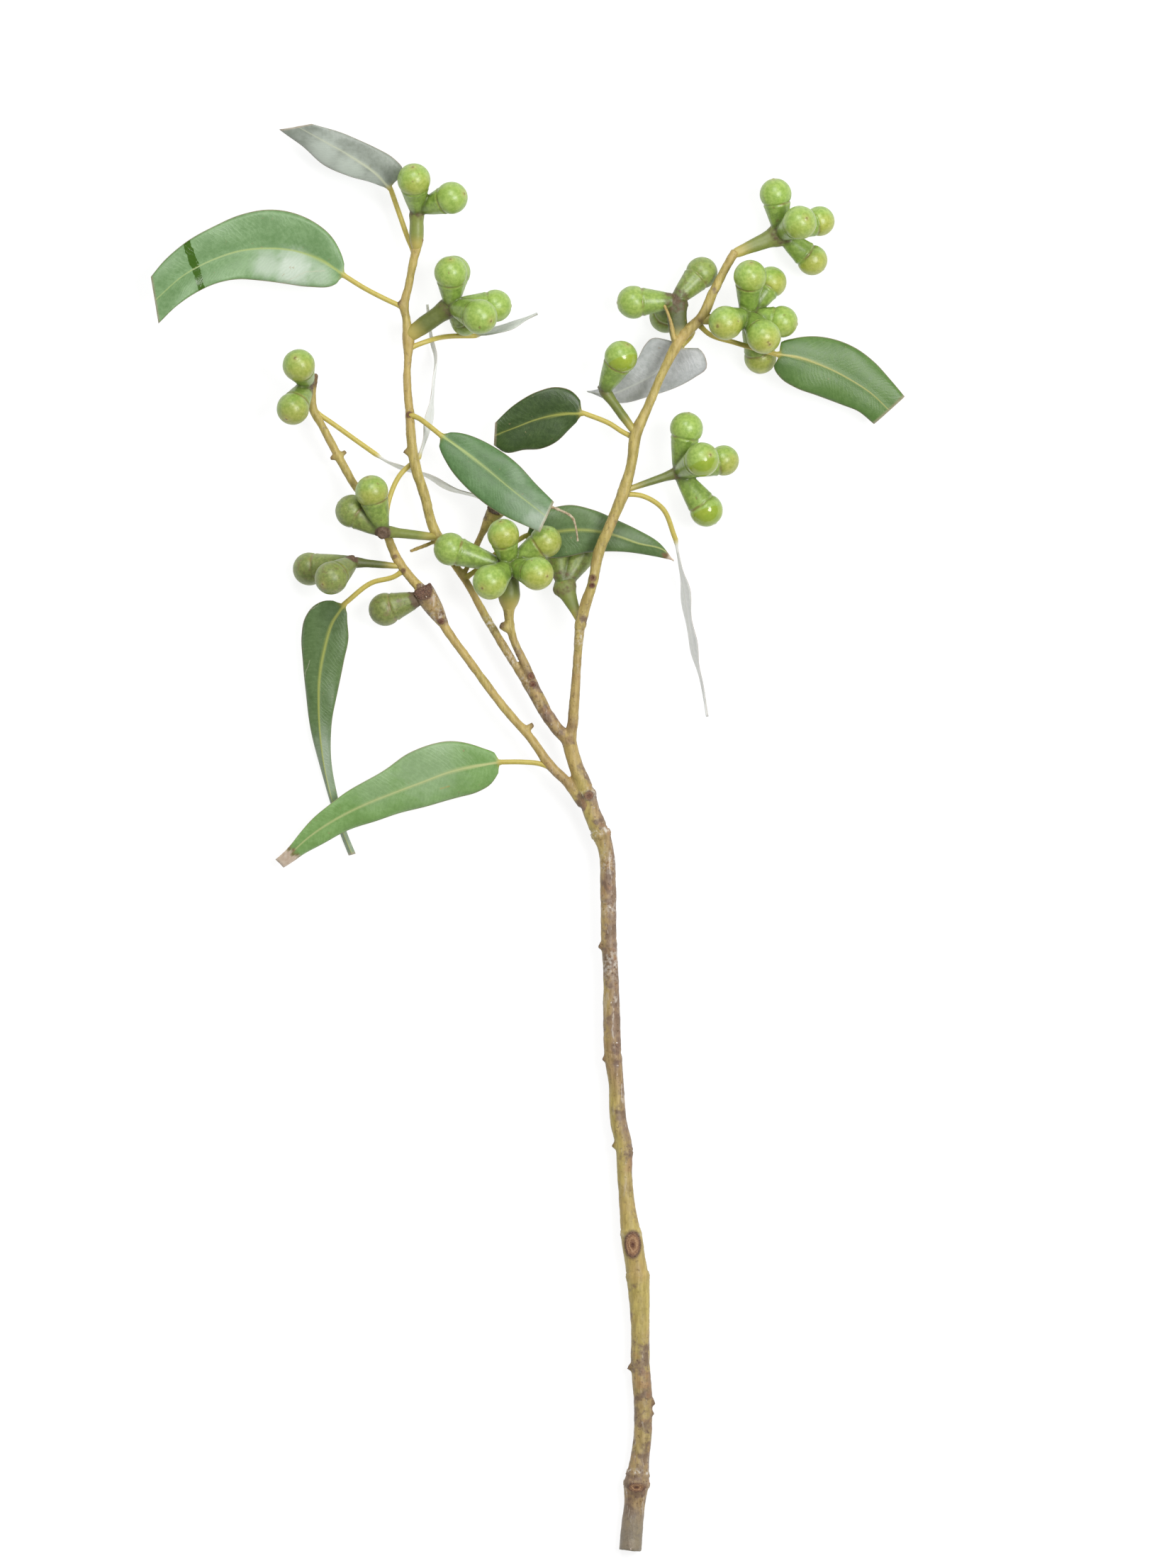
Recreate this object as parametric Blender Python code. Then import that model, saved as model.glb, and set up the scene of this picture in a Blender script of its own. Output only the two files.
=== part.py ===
"""A cut eucalyptus branch lying down: a forked stem, thirteen clusters of buds and thirteen leaves."""

import math

import bmesh
import bpy
import numpy as np
from mathutils import Vector

# Driving dimensions. Routes and outlines are in millimetres from the stem's cut end:
# +X to the right, +Y along the branch, +Z up from the surface that it lies on.
MM = 0.001
BARK_GAP = 0.3
STEM_SIDES = 10
TWIG_SIDES = 8
BUD_SIDES = 10
RING_SPACING = 9.0
CUP_BASE_RADIUS = 1.9
BLADE_SECTIONS = 13
PETIOLE_SECTIONS = 6
PETIOLE_RADIUS = 0.8
MARGIN_HALF_THICKNESS = 0.3
MIDRIB_HALF_THICKNESS = 0.5
BLADE_START_HALF_WIDTH = 0.64
TIP_HALF_WIDTH = 0.4
BUMP_TIP_SHARE = 0.45
SMOOTH_ANGLE_DEGREES = 50

# A flat blade's margins reach their rise over the first share of its length, and a pointed one's drop
# back over the last. An upright blade widens and narrows over its own two shares.
RISE_SHARES = (0.3, 0.2)
SWELL_SHARES = (0.35, 0.6)

# A peduncle's radius at shares of its length, mixed from its radius at the root and at the head.
PEDUNCLE_STAGES = ((0.0, 0.6, 0.0), (0.25, 1.0, 0.0), (0.7, 0.5, 0.5), (1.0, 0.0, 1.0), (1.12, 0.0, 0.6))

# A leaf section runs left margin, midrib, right margin above and back below. The sides whose triangles
# are flipped make both faces of the blade match, and each end closes beside the midrib.
LEAF_FLIPPED = (3, 4)
LEAF_END_FACES = ((0, 1, 4), (0, 4, 5), (1, 2, 3), (1, 3, 4))

# Bud outline from the cup's base to the cap's apex. A place along the cup is a share of its length,
# and one on the cap is a share of the cap's radius beyond the cap's centre.
CUP_PROFILE = ((0.0, 1.0), (0.42, 1.45))
RIM_SETBACK = 2.7
RIM_SHARE = 0.88
CAP_PROFILE = ((-0.44, 0.92), (0.0, 1.0), (0.45, 0.9), (0.8, 0.6), (0.98, 0.2))

BARK_COLOUR = (0.42, 0.34, 0.13, 1.0)
BUD_COLOUR = (0.34, 0.42, 0.09, 1.0)
LEAF_COLOUR = (0.17, 0.27, 0.07, 1.0)
SILVER_COLOUR = (0.36, 0.41, 0.27, 1.0)

# Each wood route lists x, y, z and the radius there.
MAIN_STEM = (
    (0.0, 0.0, 3.3, 3.5), (0.7, 8.0, 3.3, 3.5), (1.4, 15.0, 3.7, 3.3), (2.0, 21.1, 4.2, 3.9),
    (2.9, 27.6, 4.3, 3.1), (3.9, 36.4, 4.6, 2.85), (4.1, 45.1, 4.9, 2.9), (3.2, 59.8, 5.2, 3.0),
    (3.2, 68.4, 5.4, 2.9), (2.8, 80.2, 5.7, 3.35), (2.4, 86.0, 5.8, 3.6), (1.6, 90.9, 5.9, 3.25),
    (0.8, 96.0, 6.0, 3.4), (-0.7, 106.4, 6.4, 2.6), (-1.8, 121.1, 6.9, 2.45), (-1.8, 125.1, 7.0, 2.6),
    (-3.8, 135.6, 7.3, 2.6), (-4.4, 147.1, 7.6, 2.45), (-5.3, 154.2, 7.9, 2.7), (-5.8, 167.1, 8.3, 2.7),
    (-6.1, 182.4, 8.8, 2.4), (-6.6, 189.8, 9.0, 2.45), (-6.9, 206.9, 9.6, 2.5), (-7.8, 220.4, 10.2, 2.5),
    (-9.6, 225.6, 10.5, 2.85), (-12.2, 231.8, 10.8, 2.7), (-13.6, 236.7, 11.0, 2.8), (-17.4, 247.1, 11.5, 2.3),
    (-19.6, 255.3, 12.0, 2.3),
)
LONG_TWIG = (
    (-19.2, 253.5, 11.9, 1.9), (-23.2, 258.0, 12.1, 2.0), (-25.4, 261.0, 12.2, 2.0), (-30.6, 270.0, 12.3, 2.1),
    (-33.6, 273.8, 11.9, 1.4), (-38.9, 282.2, 10.7, 1.35), (-45.1, 292.4, 9.6, 1.3), (-51.5, 303.8, 8.7, 1.2),
    (-57.1, 312.0, 8.5, 1.4), (-60.1, 317.1, 9.0, 1.7), (-62.0, 321.4, 9.6, 1.6), (-64.4, 330.8, 11.2, 1.6),
    (-66.8, 338.2, 12.3, 1.7), (-68.3, 346.0, 12.6, 1.6), (-69.0, 356.0, 12.4, 1.4), (-69.8, 365.3, 12.0, 1.3),
    (-69.6, 374.0, 11.5, 1.3), (-69.4, 379.0, 11.3, 1.9), (-70.1, 385.8, 11.4, 1.3), (-70.7, 389.3, 11.5, 1.45),
    (-69.2, 396.7, 12.0, 1.3), (-67.8, 404.1, 12.6, 1.35), (-66.6, 409.5, 13.0, 1.4),
)
MIDDLE_TWIG = (
    (-29.3, 268.8, 12.2, 1.7), (-32.5, 276.7, 12.6, 1.4), (-36.9, 286.8, 13.3, 1.3), (-37.9, 293.0, 13.8, 1.6),
    (-38.0, 296.0, 14.0, 3.0), (-38.0, 297.6, 14.1, 3.3),
)
LEFT_TWIG = (
    (-14.6, 234.0, 11.0, 1.9), (-20.3, 241.4, 11.1, 1.6), (-24.5, 245.4, 11.2, 1.6), (-30.9, 254.2, 11.3, 1.4),
    (-38.9, 263.4, 11.1, 1.4), (-49.4, 277.4, 11.1, 1.35), (-58.8, 290.6, 11.5, 1.5), (-63.8, 299.2, 11.6, 1.7),
    (-69.5, 305.8, 11.2, 1.5), (-73.1, 310.9, 10.8, 1.5), (-76.0, 317.8, 10.2, 1.3), (-82.0, 328.2, 9.5, 1.3),
    (-86.3, 333.9, 9.5, 1.3), (-91.3, 342.7, 10.0, 1.35), (-97.6, 354.4, 10.8, 1.3), (-99.1, 357.0, 11.0, 1.4),
    (-99.6, 361.6, 11.4, 1.3), (-98.4, 368.7, 12.0, 0.9),
)
RIGHT_BRANCH = (
    (-19.0, 252.8, 11.9, 2.0), (-18.1, 258.4, 12.5, 1.75), (-17.6, 264.1, 13.4, 1.65), (-16.4, 281.1, 16.0, 1.4),
    (-15.6, 289.6, 17.1, 1.7), (-14.3, 295.3, 17.7, 1.8), (-11.8, 302.9, 18.1, 1.6), (-10.0, 312.1, 18.4, 1.75),
    (-5.6, 322.7, 18.8, 1.7), (-2.2, 331.2, 19.0, 1.9), (0.4, 340.4, 19.0, 1.65), (1.7, 349.3, 19.0, 1.9),
    (5.5, 358.1, 18.6, 1.5), (11.8, 372.3, 17.4, 1.5), (14.9, 378.0, 17.0, 1.8), (18.6, 382.9, 16.4, 1.6),
    (21.8, 385.6, 16.0, 1.7), (25.9, 393.9, 15.2, 1.5), (30.9, 403.5, 14.3, 1.4), (33.0, 407.0, 14.0, 1.5),
)
WOODY_KNOB = ((-58.2, 290.0, 11.5, 1.6), (-61.6, 295.6, 12.3, 2.9), (-64.2, 299.8, 13.2, 3.3))
BARE_PEDUNCLE = (
    (-52.3, 305.0, 8.6, 0.7), (-48.3, 314.4, 9.7, 1.0), (-45.6, 320.1, 12.4, 1.3), (-43.0, 324.4, 14.0, 2.5),
    (-41.8, 326.0, 14.5, 3.0),
)
TWIG_STUB = ((-60.9, 316.2, 9.0, 0.6), (-65.0, 314.6, 8.6, 0.5), (-69.0, 313.0, 8.0, 0.5))

# Each bud scar or dormant bump on the wood is a short cone: base, tip and base radius.
BARK_BUMPS = (
    ((4.1, 45.1, 4.9), (8.0, 47.5, 5.2), 1.6),
    ((3.2, 59.8, 5.2), (-0.9, 61.8, 5.4), 1.5),
    ((-1.8, 125.1, 7.0), (-5.4, 127.6, 7.2), 1.4),
    ((-5.3, 154.2, 7.9), (-9.0, 156.4, 8.1), 1.4),
    ((-6.6, 189.8, 9.0), (-10.2, 192.0, 9.2), 1.4),
    ((-32.5, 257.3, 11.3), (-30.3, 258.9, 11.5), 1.1),
    ((-37.0, 288.5, 13.4), (-40.9, 290.6, 13.4), 1.2),
    ((-68.0, 343.0, 12.5), (-70.8, 344.6, 12.6), 1.1),
    ((-91.3, 342.7, 10.0), (-93.9, 342.2, 10.2), 1.0),
    ((-91.3, 342.7, 10.0), (-89.0, 344.4, 10.2), 1.0),
)

# A cluster lists where its peduncle leaves the wood, its head, the radii at both, how flat it is, and
# its buds as cap centre and cap radius, with the cup's base where that isn't at the head.
CLUSTERS = (
    dict(root=(-66.9, 408.0, 12.9), head=(-66.8, 419.3, 14.0), radii=(2.2, 2.2), flat=1.0, buds=(
        ((-67.6, 429.1, 22.5), 5.2, None), ((-55.9, 423.5, 20.5), 5.1, (-65.6, 420.4, 14.2)))),
    dict(root=(-69.5, 380.4, 11.4), head=(-56.0, 389.9, 13.5), radii=(2.6, 3.1), flat=0.8, buds=(
        ((-56.1, 400.1, 21.0), 5.2, None), ((-55.2, 400.6, 5.1), 5.2, None),
        ((-47.0, 386.3, 23.5), 5.5, None), ((-42.2, 389.9, 13.0), 5.1, None),
        ((-51.6, 385.2, 5.4), 4.6, None))),
    dict(root=(-99.2, 364.6, 11.6), head=(-100.9, 365.4, 12.0), radii=(0.9, 1.4), flat=1.0, buds=(
        ((-103.6, 371.1, 23.5), 5.1, None), ((-105.5, 357.6, 19.5), 5.1, None))),
    dict(root=(-60.1, 317.4, 9.2), head=(-77.3, 319.3, 17.0), radii=(1.35, 1.8), flat=1.0, buds=(
        ((-80.8, 331.6, 22.5), 5.2, None), ((-87.1, 325.6, 15.0), 5.2, None))),
    dict(root=(-72.2, 308.4, 10.9), head=(-86.9, 309.7, 12.0), radii=(1.05, 1.6), flat=1.0, buds=(
        ((-100.5, 307.6, 5.1), 5.2, None), ((-93.5, 304.6, 22.0), 5.2, None))),
    dict(root=(-61.5, 299.4, 12.3), head=(-65.6, 298.4, 12.0), radii=(1.4, 1.9), flat=1.0, buds=(
        ((-76.7, 294.9, 9.5), 5.2, None),)),
    dict(root=(-38.0, 296.6, 14.0), head=(-37.7, 308.3, 16.0), radii=(2.6, 3.0), flat=0.9, buds=(
        ((-56.3, 313.7, 17.0), 5.2, (-40.6, 308.7, 16.1)), ((-39.7, 318.2, 22.5), 5.0, None),
        ((-26.5, 316.1, 17.6), 5.1, None), ((-43.8, 303.3, 27.5), 5.5, None),
        ((-29.2, 306.0, 26.5), 5.3, None))),
    dict(root=(-15.4, 290.6, 17.0), head=(-20.9, 302.7, 10.2), radii=(1.5, 3.7), flat=0.6, buds=(
        ((-23.8, 316.4, 5.1), 5.2, None), ((-12.8, 315.3, 5.1), 5.2, None))),
    dict(root=(-1.9, 332.0, 19.0), head=(15.3, 337.8, 15.5), radii=(1.0, 1.7), flat=1.0, buds=(
        ((17.6, 351.4, 18.0), 5.2, None), ((22.4, 341.6, 27.5), 5.4, None),
        ((29.3, 341.5, 11.0), 4.8, None), ((23.8, 325.9, 14.0), 5.2, None))),
    dict(root=(1.6, 350.0, 19.2), head=(-8.2, 363.5, 17.2), radii=(1.35, 1.7), flat=1.0, buds=(
        ((-2.9, 373.6, 23.5), 5.2, None),)),
    dict(root=(15.4, 377.8, 17.1), head=(14.2, 391.5, 14.3), radii=(2.8, 3.6), flat=0.5, buds=(
        ((1.0, 391.0, 15.0), 5.2, None), ((11.2, 386.7, 5.1), 5.2, (13.2, 390.8, 13.4)),
        ((22.4, 400.3, 9.8), 5.0, None))),
    dict(root=(21.5, 385.3, 16.0), head=(36.6, 386.8, 13.0), radii=(1.7, 2.8), flat=0.9, buds=(
        ((37.5, 398.9, 21.0), 5.2, None), ((44.1, 397.4, 9.6), 4.9, None),
        ((29.8, 384.3, 26.0), 5.4, None), ((41.7, 380.0, 25.0), 5.4, None),
        ((47.5, 384.9, 14.0), 5.0, None), ((40.8, 373.8, 5.0), 5.1, None))),
    dict(root=(32.6, 406.2, 14.1), head=(47.3, 412.4, 11.5), radii=(1.9, 3.5), flat=0.7, buds=(
        ((45.5, 424.8, 14.0), 5.0, None), ((53.0, 415.7, 24.0), 5.3, None),
        ((59.4, 416.6, 4.6), 4.7, None), ((57.0, 404.3, 9.0), 4.8, None))),
)

# A flat leaf lists its petiole and midrib with heights, and the outlines of its two sides, which rise
# from the midrib's height by the two rises. A snipped leaf ends at a straight cut.
FLAT_LEAVES = (
    dict(petiole=((-67.4, 406.2, 12.5), (-69.3, 410.4, 10.6), (-71.8, 417.4, 10.2), (-74.9, 426.3, 11.6)),
         midrib=((-74.9, 426.3, 11.6), (-80.0, 431.7, 12.4), (-87.9, 437.1, 12.6), (-96.4, 441.9, 11.8),
                 (-106.6, 442.9, 10.5)),
         left=((-71.2, 432.9), (-73.8, 435.7), (-79.4, 439.3), (-88.0, 443.1), (-99.6, 447.0), (-110.0, 445.2)),
         right=((-77.2, 426.9), (-88.0, 430.6), (-96.4, 434.2), (-103.2, 440.5)),
         rises=(1.5, -2.5), snipped=True, silver=True),
    dict(petiole=((-70.7, 389.3, 11.5), (-77.0, 392.2, 12.0), (-83.5, 395.6, 12.3), (-89.1, 399.1, 12.0)),
         midrib=((-89.1, 399.1, 12.0), (-96.4, 404.0, 11.0), (-104.9, 407.1, 10.2), (-113.4, 407.9, 10.0),
                 (-122.0, 407.1, 10.4), (-130.4, 404.4, 11.2), (-138.9, 400.0, 12.0), (-148.8, 391.5, 12.2)),
         left=((-90.4, 406.2), (-93.6, 411.8), (-99.3, 416.4), (-107.8, 419.6), (-113.4, 420.0), (-122.0, 418.4),
               (-130.4, 414.7), (-138.9, 409.9), (-145.8, 404.0), (-150.0, 398.9)),
         right=((-93.6, 396.0), (-100.4, 395.8), (-108.9, 396.9), (-116.2, 397.8), (-122.4, 398.2),
                (-129.3, 396.9), (-136.1, 393.8), (-141.8, 389.8), (-147.6, 384.3)),
         rises=(2.5, 3.2), snipped=True, silver=False),
    dict(petiole=((-69.0, 355.8, 12.6), (-66.4, 354.8, 14.2), (-63.2, 352.5, 16.2), (-59.6, 349.6, 17.8)),
         midrib=((-59.6, 349.6, 17.8), (-54.5, 346.1, 19.2), (-45.3, 339.0, 20.6), (-36.8, 332.0, 22.2), (-26.0, 323.6, 24.0)),
         left=((-54.5, 350.2), (-47.4, 348.2), (-40.3, 344.3), (-34.7, 339.8), (-29.7, 334.4), (-23.8, 328.3)),
         right=((-59.8, 346.1), (-57.3, 340.4), (-52.4, 334.0), (-44.7, 327.3), (-38.2, 323.4), (-28.2, 318.9)),
         rises=(-1.2, 0.6), snipped=True, silver=False),
    dict(petiole=((-51.8, 304.6, 8.7), (-48.4, 307.0, 9.6), (-43.0, 311.6, 11.2), (-33.0, 317.8, 11.4)),
         midrib=((-33.0, 317.8, 11.4), (-22.7, 319.2, 12.0), (-16.9, 319.7, 12.6), (-9.8, 319.2, 12.9),
                 (-4.9, 318.1, 12.8), (2.2, 315.6, 12.2), (11.3, 312.9, 11.5), (13.6, 310.2, 11.2)),
         left=((-29.0, 325.0), (-23.3, 327.0), (-19.1, 327.6), (-12.0, 326.2), (-3.6, 322.7), (2.2, 319.9),
               (9.3, 315.6), (13.6, 310.2)),
         right=((-30.5, 312.4), (-24.7, 311.0), (-12.0, 312.8), (-1.3, 312.8), (7.9, 311.4), (13.6, 310.2)),
         rises=(-0.8, -0.6), snipped=False, silver=False),
    dict(petiole=((1.2, 348.6, 18.2), (-2.1, 350.2, 17.2), (-6.3, 352.9, 16.4), (-14.4, 356.2, 16.2)),
         midrib=((-14.4, 356.2, 16.2), (-22.7, 355.9, 15.6), (-29.8, 354.2, 15.2), (-36.1, 351.8, 14.8),
                 (-42.5, 349.4, 14.0)),
         left=((-15.6, 360.2), (-18.4, 363.1), (-23.3, 364.4), (-29.0, 363.1), (-36.1, 358.9), (-42.3, 353.3)),
         right=((-16.2, 353.9), (-19.1, 351.1), (-23.3, 347.2), (-28.3, 345.0), (-33.2, 344.7), (-38.9, 344.0),
                (-42.7, 346.4)),
         rises=(2.0, -1.6), snipped=True, silver=False),
    dict(petiole=((18.2, 382.6, 16.6), (19.6, 382.0, 14.1), (19.0, 380.4, 11.9), (16.4, 377.6, 10.4)),
         midrib=((16.4, 377.6, 10.4), (11.3, 372.0, 9.8), (7.3, 368.4, 9.6), (3.9, 366.4, 9.4),
                 (-0.4, 364.4, 9.2), (-4.9, 362.7, 8.8), (-13.4, 363.1, 8.0)),
         left=((21.5, 376.6), (23.6, 373.8), (24.0, 370.6), (20.3, 367.6), (14.0, 364.2), (6.4, 361.7),
               (-3.5, 359.6), (-13.4, 363.1)),
         right=((12.4, 379.1), (6.4, 379.6), (4.4, 377.4), (2.4, 373.6), (-5.6, 365.3), (-13.4, 363.1)),
         rises=(-1.5, -0.6), snipped=False, silver=True),
    dict(petiole=((21.2, 384.4, 15.2), (24.2, 381.4, 14.2), (33.0, 378.3, 13.5), (45.8, 374.7, 13.4)),
         midrib=((45.8, 374.7, 13.4), (51.5, 374.0, 12.6), (57.4, 372.2, 11.6), (63.3, 369.8, 10.6),
                 (69.3, 366.6, 9.6), (75.3, 362.7, 8.6), (81.2, 357.2, 7.6)),
         left=((46.7, 378.0), (51.5, 379.8), (57.4, 380.4), (64.6, 379.3), (70.4, 376.9), (76.4, 372.5),
               (81.8, 366.6), (86.0, 361.6)),
         right=((45.0, 370.6), (47.3, 367.1), (51.5, 364.4), (58.6, 361.8), (66.4, 358.9), (71.1, 357.1),
                (76.4, 352.9)),
         rises=(-1.5, -2.0), snipped=True, silver=False),
    dict(petiole=((-70.6, 307.4, 11.1), (-73.4, 305.4, 10.6), (-81.0, 303.2, 9.2), (-89.2, 296.9, 8.4)),
         midrib=((-89.2, 296.9, 8.4), (-93.5, 290.1, 7.6), (-95.8, 282.4, 6.8), (-97.3, 274.0, 6.0),
                 (-97.6, 265.1, 5.2), (-97.0, 254.4, 4.2), (-95.6, 244.2, 3.2), (-93.5, 235.3, 2.4),
                 (-89.8, 224.7, 1.6), (-87.1, 218.1, 1.3)),
         left=((-88.6, 291.6), (-88.2, 286.0), (-89.6, 278.8), (-91.7, 268.7), (-93.5, 259.1), (-93.8, 252.0),
               (-93.2, 244.2), (-91.7, 236.5), (-88.7, 224.9), (-86.0, 218.4)),
         right=((-92.3, 297.6), (-95.8, 297.6), (-99.4, 295.8), (-101.8, 292.4), (-103.0, 286.5), (-102.5, 278.2),
                (-101.8, 270.4), (-100.9, 262.1), (-98.8, 251.4), (-95.8, 240.7), (-90.8, 224.3),
                (-88.2, 217.8)),
         rises=(-0.7, -0.9), snipped=True, silver=False),
    dict(petiole=((-24.0, 245.0, 11.2), (-28.5, 246.6, 11.2), (-34.0, 247.1, 11.0), (-40.2, 247.1, 10.6)),
         midrib=((-40.2, 247.1, 10.6), (-47.6, 246.0, 10.0), (-56.6, 244.0, 9.4), (-65.6, 240.7, 9.0),
                 (-74.4, 237.4, 8.6), (-83.3, 233.8, 8.2), (-92.3, 229.3, 7.8), (-101.2, 223.4, 7.2),
                 (-109.8, 215.4, 6.2)),
         left=((-41.6, 243.0), (-43.8, 240.0), (-47.6, 237.8), (-53.6, 236.0), (-62.5, 233.6), (-71.4, 231.2), (-77.4, 229.4),
               (-86.3, 226.4), (-95.3, 222.2), (-101.2, 218.7), (-106.6, 216.4), (-109.8, 215.4)),
         right=((-41.6, 249.4), (-46.4, 251.6), (-51.8, 253.2), (-57.2, 253.6), (-62.5, 252.7), (-69.1, 250.0),
                (-76.2, 245.1), (-83.3, 241.0), (-90.5, 236.5), (-98.2, 230.6), (-103.0, 225.2),
                (-107.4, 220.4), (-109.8, 215.4)),
         rises=(-1.8, 1.8), snipped=False, silver=False),
)

# A leaf seen edge on stands upright: its blade reaches above and below the midrib by the half width,
# and leans sideways by the lean in degrees at its base and at its tip.
UPRIGHT_LEAVES = (
    dict(petiole=((-69.4, 376.6, 11.2), (-64.2, 378.6, 10.8), (-57.6, 380.4, 4.4), (-48.6, 380.7, 1.3)),
         midrib=((-48.6, 380.7, 1.3), (-43.5, 381.9, 4.4), (-37.6, 383.8, 5.3), (-29.0, 387.6, 5.3)),
         half_width=4.8, leans=(-18.0, -18.0), snipped=False),
    dict(petiole=((-76.6, 319.5, 10.1), (-75.6, 328.8, 9.6), (-72.1, 336.9, 9.3), (-66.2, 342.4, 8.9)),
         midrib=((-66.2, 342.4, 8.9), (-64.0, 349.1, 8.6), (-62.6, 358.2, 8.0), (-61.6, 366.0, 6.8),
                 (-61.0, 373.1, 5.2), (-62.2, 379.3, 3.2), (-63.6, 390.5, 1.6)),
         half_width=5.6, leans=(26.0, -24.0), snipped=False),
    dict(petiole=((-99.0, 357.0, 10.9), (-93.6, 353.4, 9.0), (-86.3, 348.2, 6.6), (-79.8, 343.6, 4.8)),
         midrib=((-79.8, 343.6, 4.8), (-75.8, 341.1, 4.5), (-69.6, 338.9, 4.3), (-64.4, 337.2, 4.4),
                 (-57.7, 333.6, 4.6), (-47.1, 330.2, 4.6)),
         half_width=3.7, leans=(10.0, 10.0), snipped=True),
    dict(petiole=((-2.0, 331.0, 18.4), (3.6, 330.4, 16.6), (9.8, 326.8, 13.4), (14.2, 316.9, 9.0)),
         midrib=((14.2, 316.9, 9.0), (15.4, 310.4, 7.8), (16.8, 303.3, 7.2), (19.3, 286.4, 6.8),
                 (23.2, 268.0, 5.6), (24.2, 261.3, 5.0)),
         half_width=6.2, leans=(12.0, 12.0), snipped=False),
)


def clear_scene():
    """Remove every object that the start-up file holds."""
    for item in list(bpy.data.objects):
        bpy.data.objects.remove(item, do_unlink=True)


def material(name, colour, roughness):
    """A plain surface of the part's colour."""
    made = bpy.data.materials.new(name)
    made.use_nodes = True
    surface = made.node_tree.nodes["Principled BSDF"]
    surface.inputs["Base Color"].default_value = colour
    surface.inputs["Roughness"].default_value = roughness
    surface.inputs["Metallic"].default_value = 0.0
    made.diffuse_color = colour
    return made


def curve_values(points, wanted=None):
    """Values of a smooth curve through the points, at shares of its length or at well-spaced stations."""
    knots = np.array(points, dtype=float)
    chords = np.linalg.norm(np.diff(knots[:, :3], axis=0), axis=1)
    stations = np.concatenate(([0.0], np.cumsum(chords)))
    slopes = np.gradient(knots, stations, axis=0)
    if wanted is None:
        counts = [max(1, math.ceil(chord / RING_SPACING)) for chord in chords]
        pieces = [np.linspace(stations[i], stations[i + 1], count, endpoint=False)
                  for i, count in enumerate(counts)]
        places = np.append(np.concatenate(pieces), stations[-1])
    else:
        places = np.array(wanted) * stations[-1]
    values = []
    for place in places:
        i = min(int(np.searchsorted(stations, place, side="right")) - 1, len(chords) - 1)
        span = chords[i]
        u = (place - stations[i]) / span
        value = ((2 * u**3 - 3 * u**2 + 1) * knots[i] + (u**3 - 2 * u**2 + u) * span * slopes[i]
                 + (3 * u**2 - 2 * u**3) * knots[i + 1] + (u**3 - u**2) * span * slopes[i + 1])
        values.append(value.tolist())
    return values


def closed_mesh(name, rings, flipped=(), end_faces=None):
    """One closed body through rings of points, in metres, with nothing below the floor.

    An end is a fan of triangles, or the given triangles of its ring.
    """
    sides = len(rings[0])
    points = [Vector(point) for ring in rings for point in ring]
    faces = []
    for i in range(len(rings) - 1):
        for k in range(sides):
            a, b = i * sides + k, i * sides + (k + 1) % sides
            c, d = b + sides, a + sides
            faces += [(a, b, d), (b, c, d)] if k in flipped else [(a, b, c), (a, c, d)]
    for first in (0, (len(rings) - 1) * sides):
        if end_faces:
            faces += [tuple(first + corner for corner in face) for face in end_faces]
            continue
        hub = len(points)
        points.append(sum(points[first:first + sides], Vector()) / sides)
        faces += [(hub, first + k, first + (k + 1) % sides) for k in range(sides)]
    lifted = [(p.x * MM, p.y * MM, max(p.z, 0.0) * MM) for p in points]
    mesh = bpy.data.meshes.new(name)
    mesh.from_pydata(lifted, [], faces)
    shaped = bmesh.new()
    shaped.from_mesh(mesh)
    bmesh.ops.recalc_face_normals(shaped, faces=shaped.faces)
    shaped.to_mesh(mesh)
    shaped.free()
    return mesh


def tube_rings(values, sides, grow=0.0, flat=1.0):
    """Rings round a route of x, y, z and radius, with a side of each ring facing down."""
    centres = [Vector(value[:3]) for value in values]
    rings = []
    for i, value in enumerate(values):
        ahead = (centres[min(i + 1, len(centres) - 1)] - centres[max(i - 1, 0)]).normalized()
        across = ahead.cross(Vector((0, 0, 1))).normalized()
        above = across.cross(ahead)
        radius = value[3] + grow
        ring = []
        for k in range(sides):
            angle = 2 * math.pi * (k + 0.5) / sides - math.pi / 2
            ring.append(centres[i] + radius * (math.cos(angle) * across + flat * math.sin(angle) * above))
        rings.append(ring)
    return rings


def bud_rings(base, cap, radius):
    """Rings of one bud: a cup that widens from its base, a rim, and a rounded cap."""
    base, cap = Vector(base), Vector(cap)
    axis = (cap - base).normalized()
    length = (cap - base).length
    rim = RIM_SHARE * radius
    outline = [(share * length, CUP_BASE_RADIUS * widening) for share, widening in CUP_PROFILE]
    outline.append((length - RIM_SETBACK, rim))
    outline += [(length + along * radius, share * radius) for along, share in CAP_PROFILE]
    across = axis.orthogonal().normalized()
    beside = axis.cross(across)
    rings = []
    for along, width in outline:
        ring = []
        for k in range(BUD_SIDES):
            angle = 2 * math.pi * k / BUD_SIDES
            ring.append(base + along * axis + width * (math.cos(angle) * across + math.sin(angle) * beside))
        rings.append(ring)
    return rings


def leaf_ring(middle, left, right, normal, margin, rib):
    """A six-point section of a leaf: its margins and midrib, above and below."""
    upper = [left + margin * normal, middle + rib * normal, right + margin * normal]
    lower = [right - margin * normal, middle - rib * normal, left - margin * normal]
    return upper + lower


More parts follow.
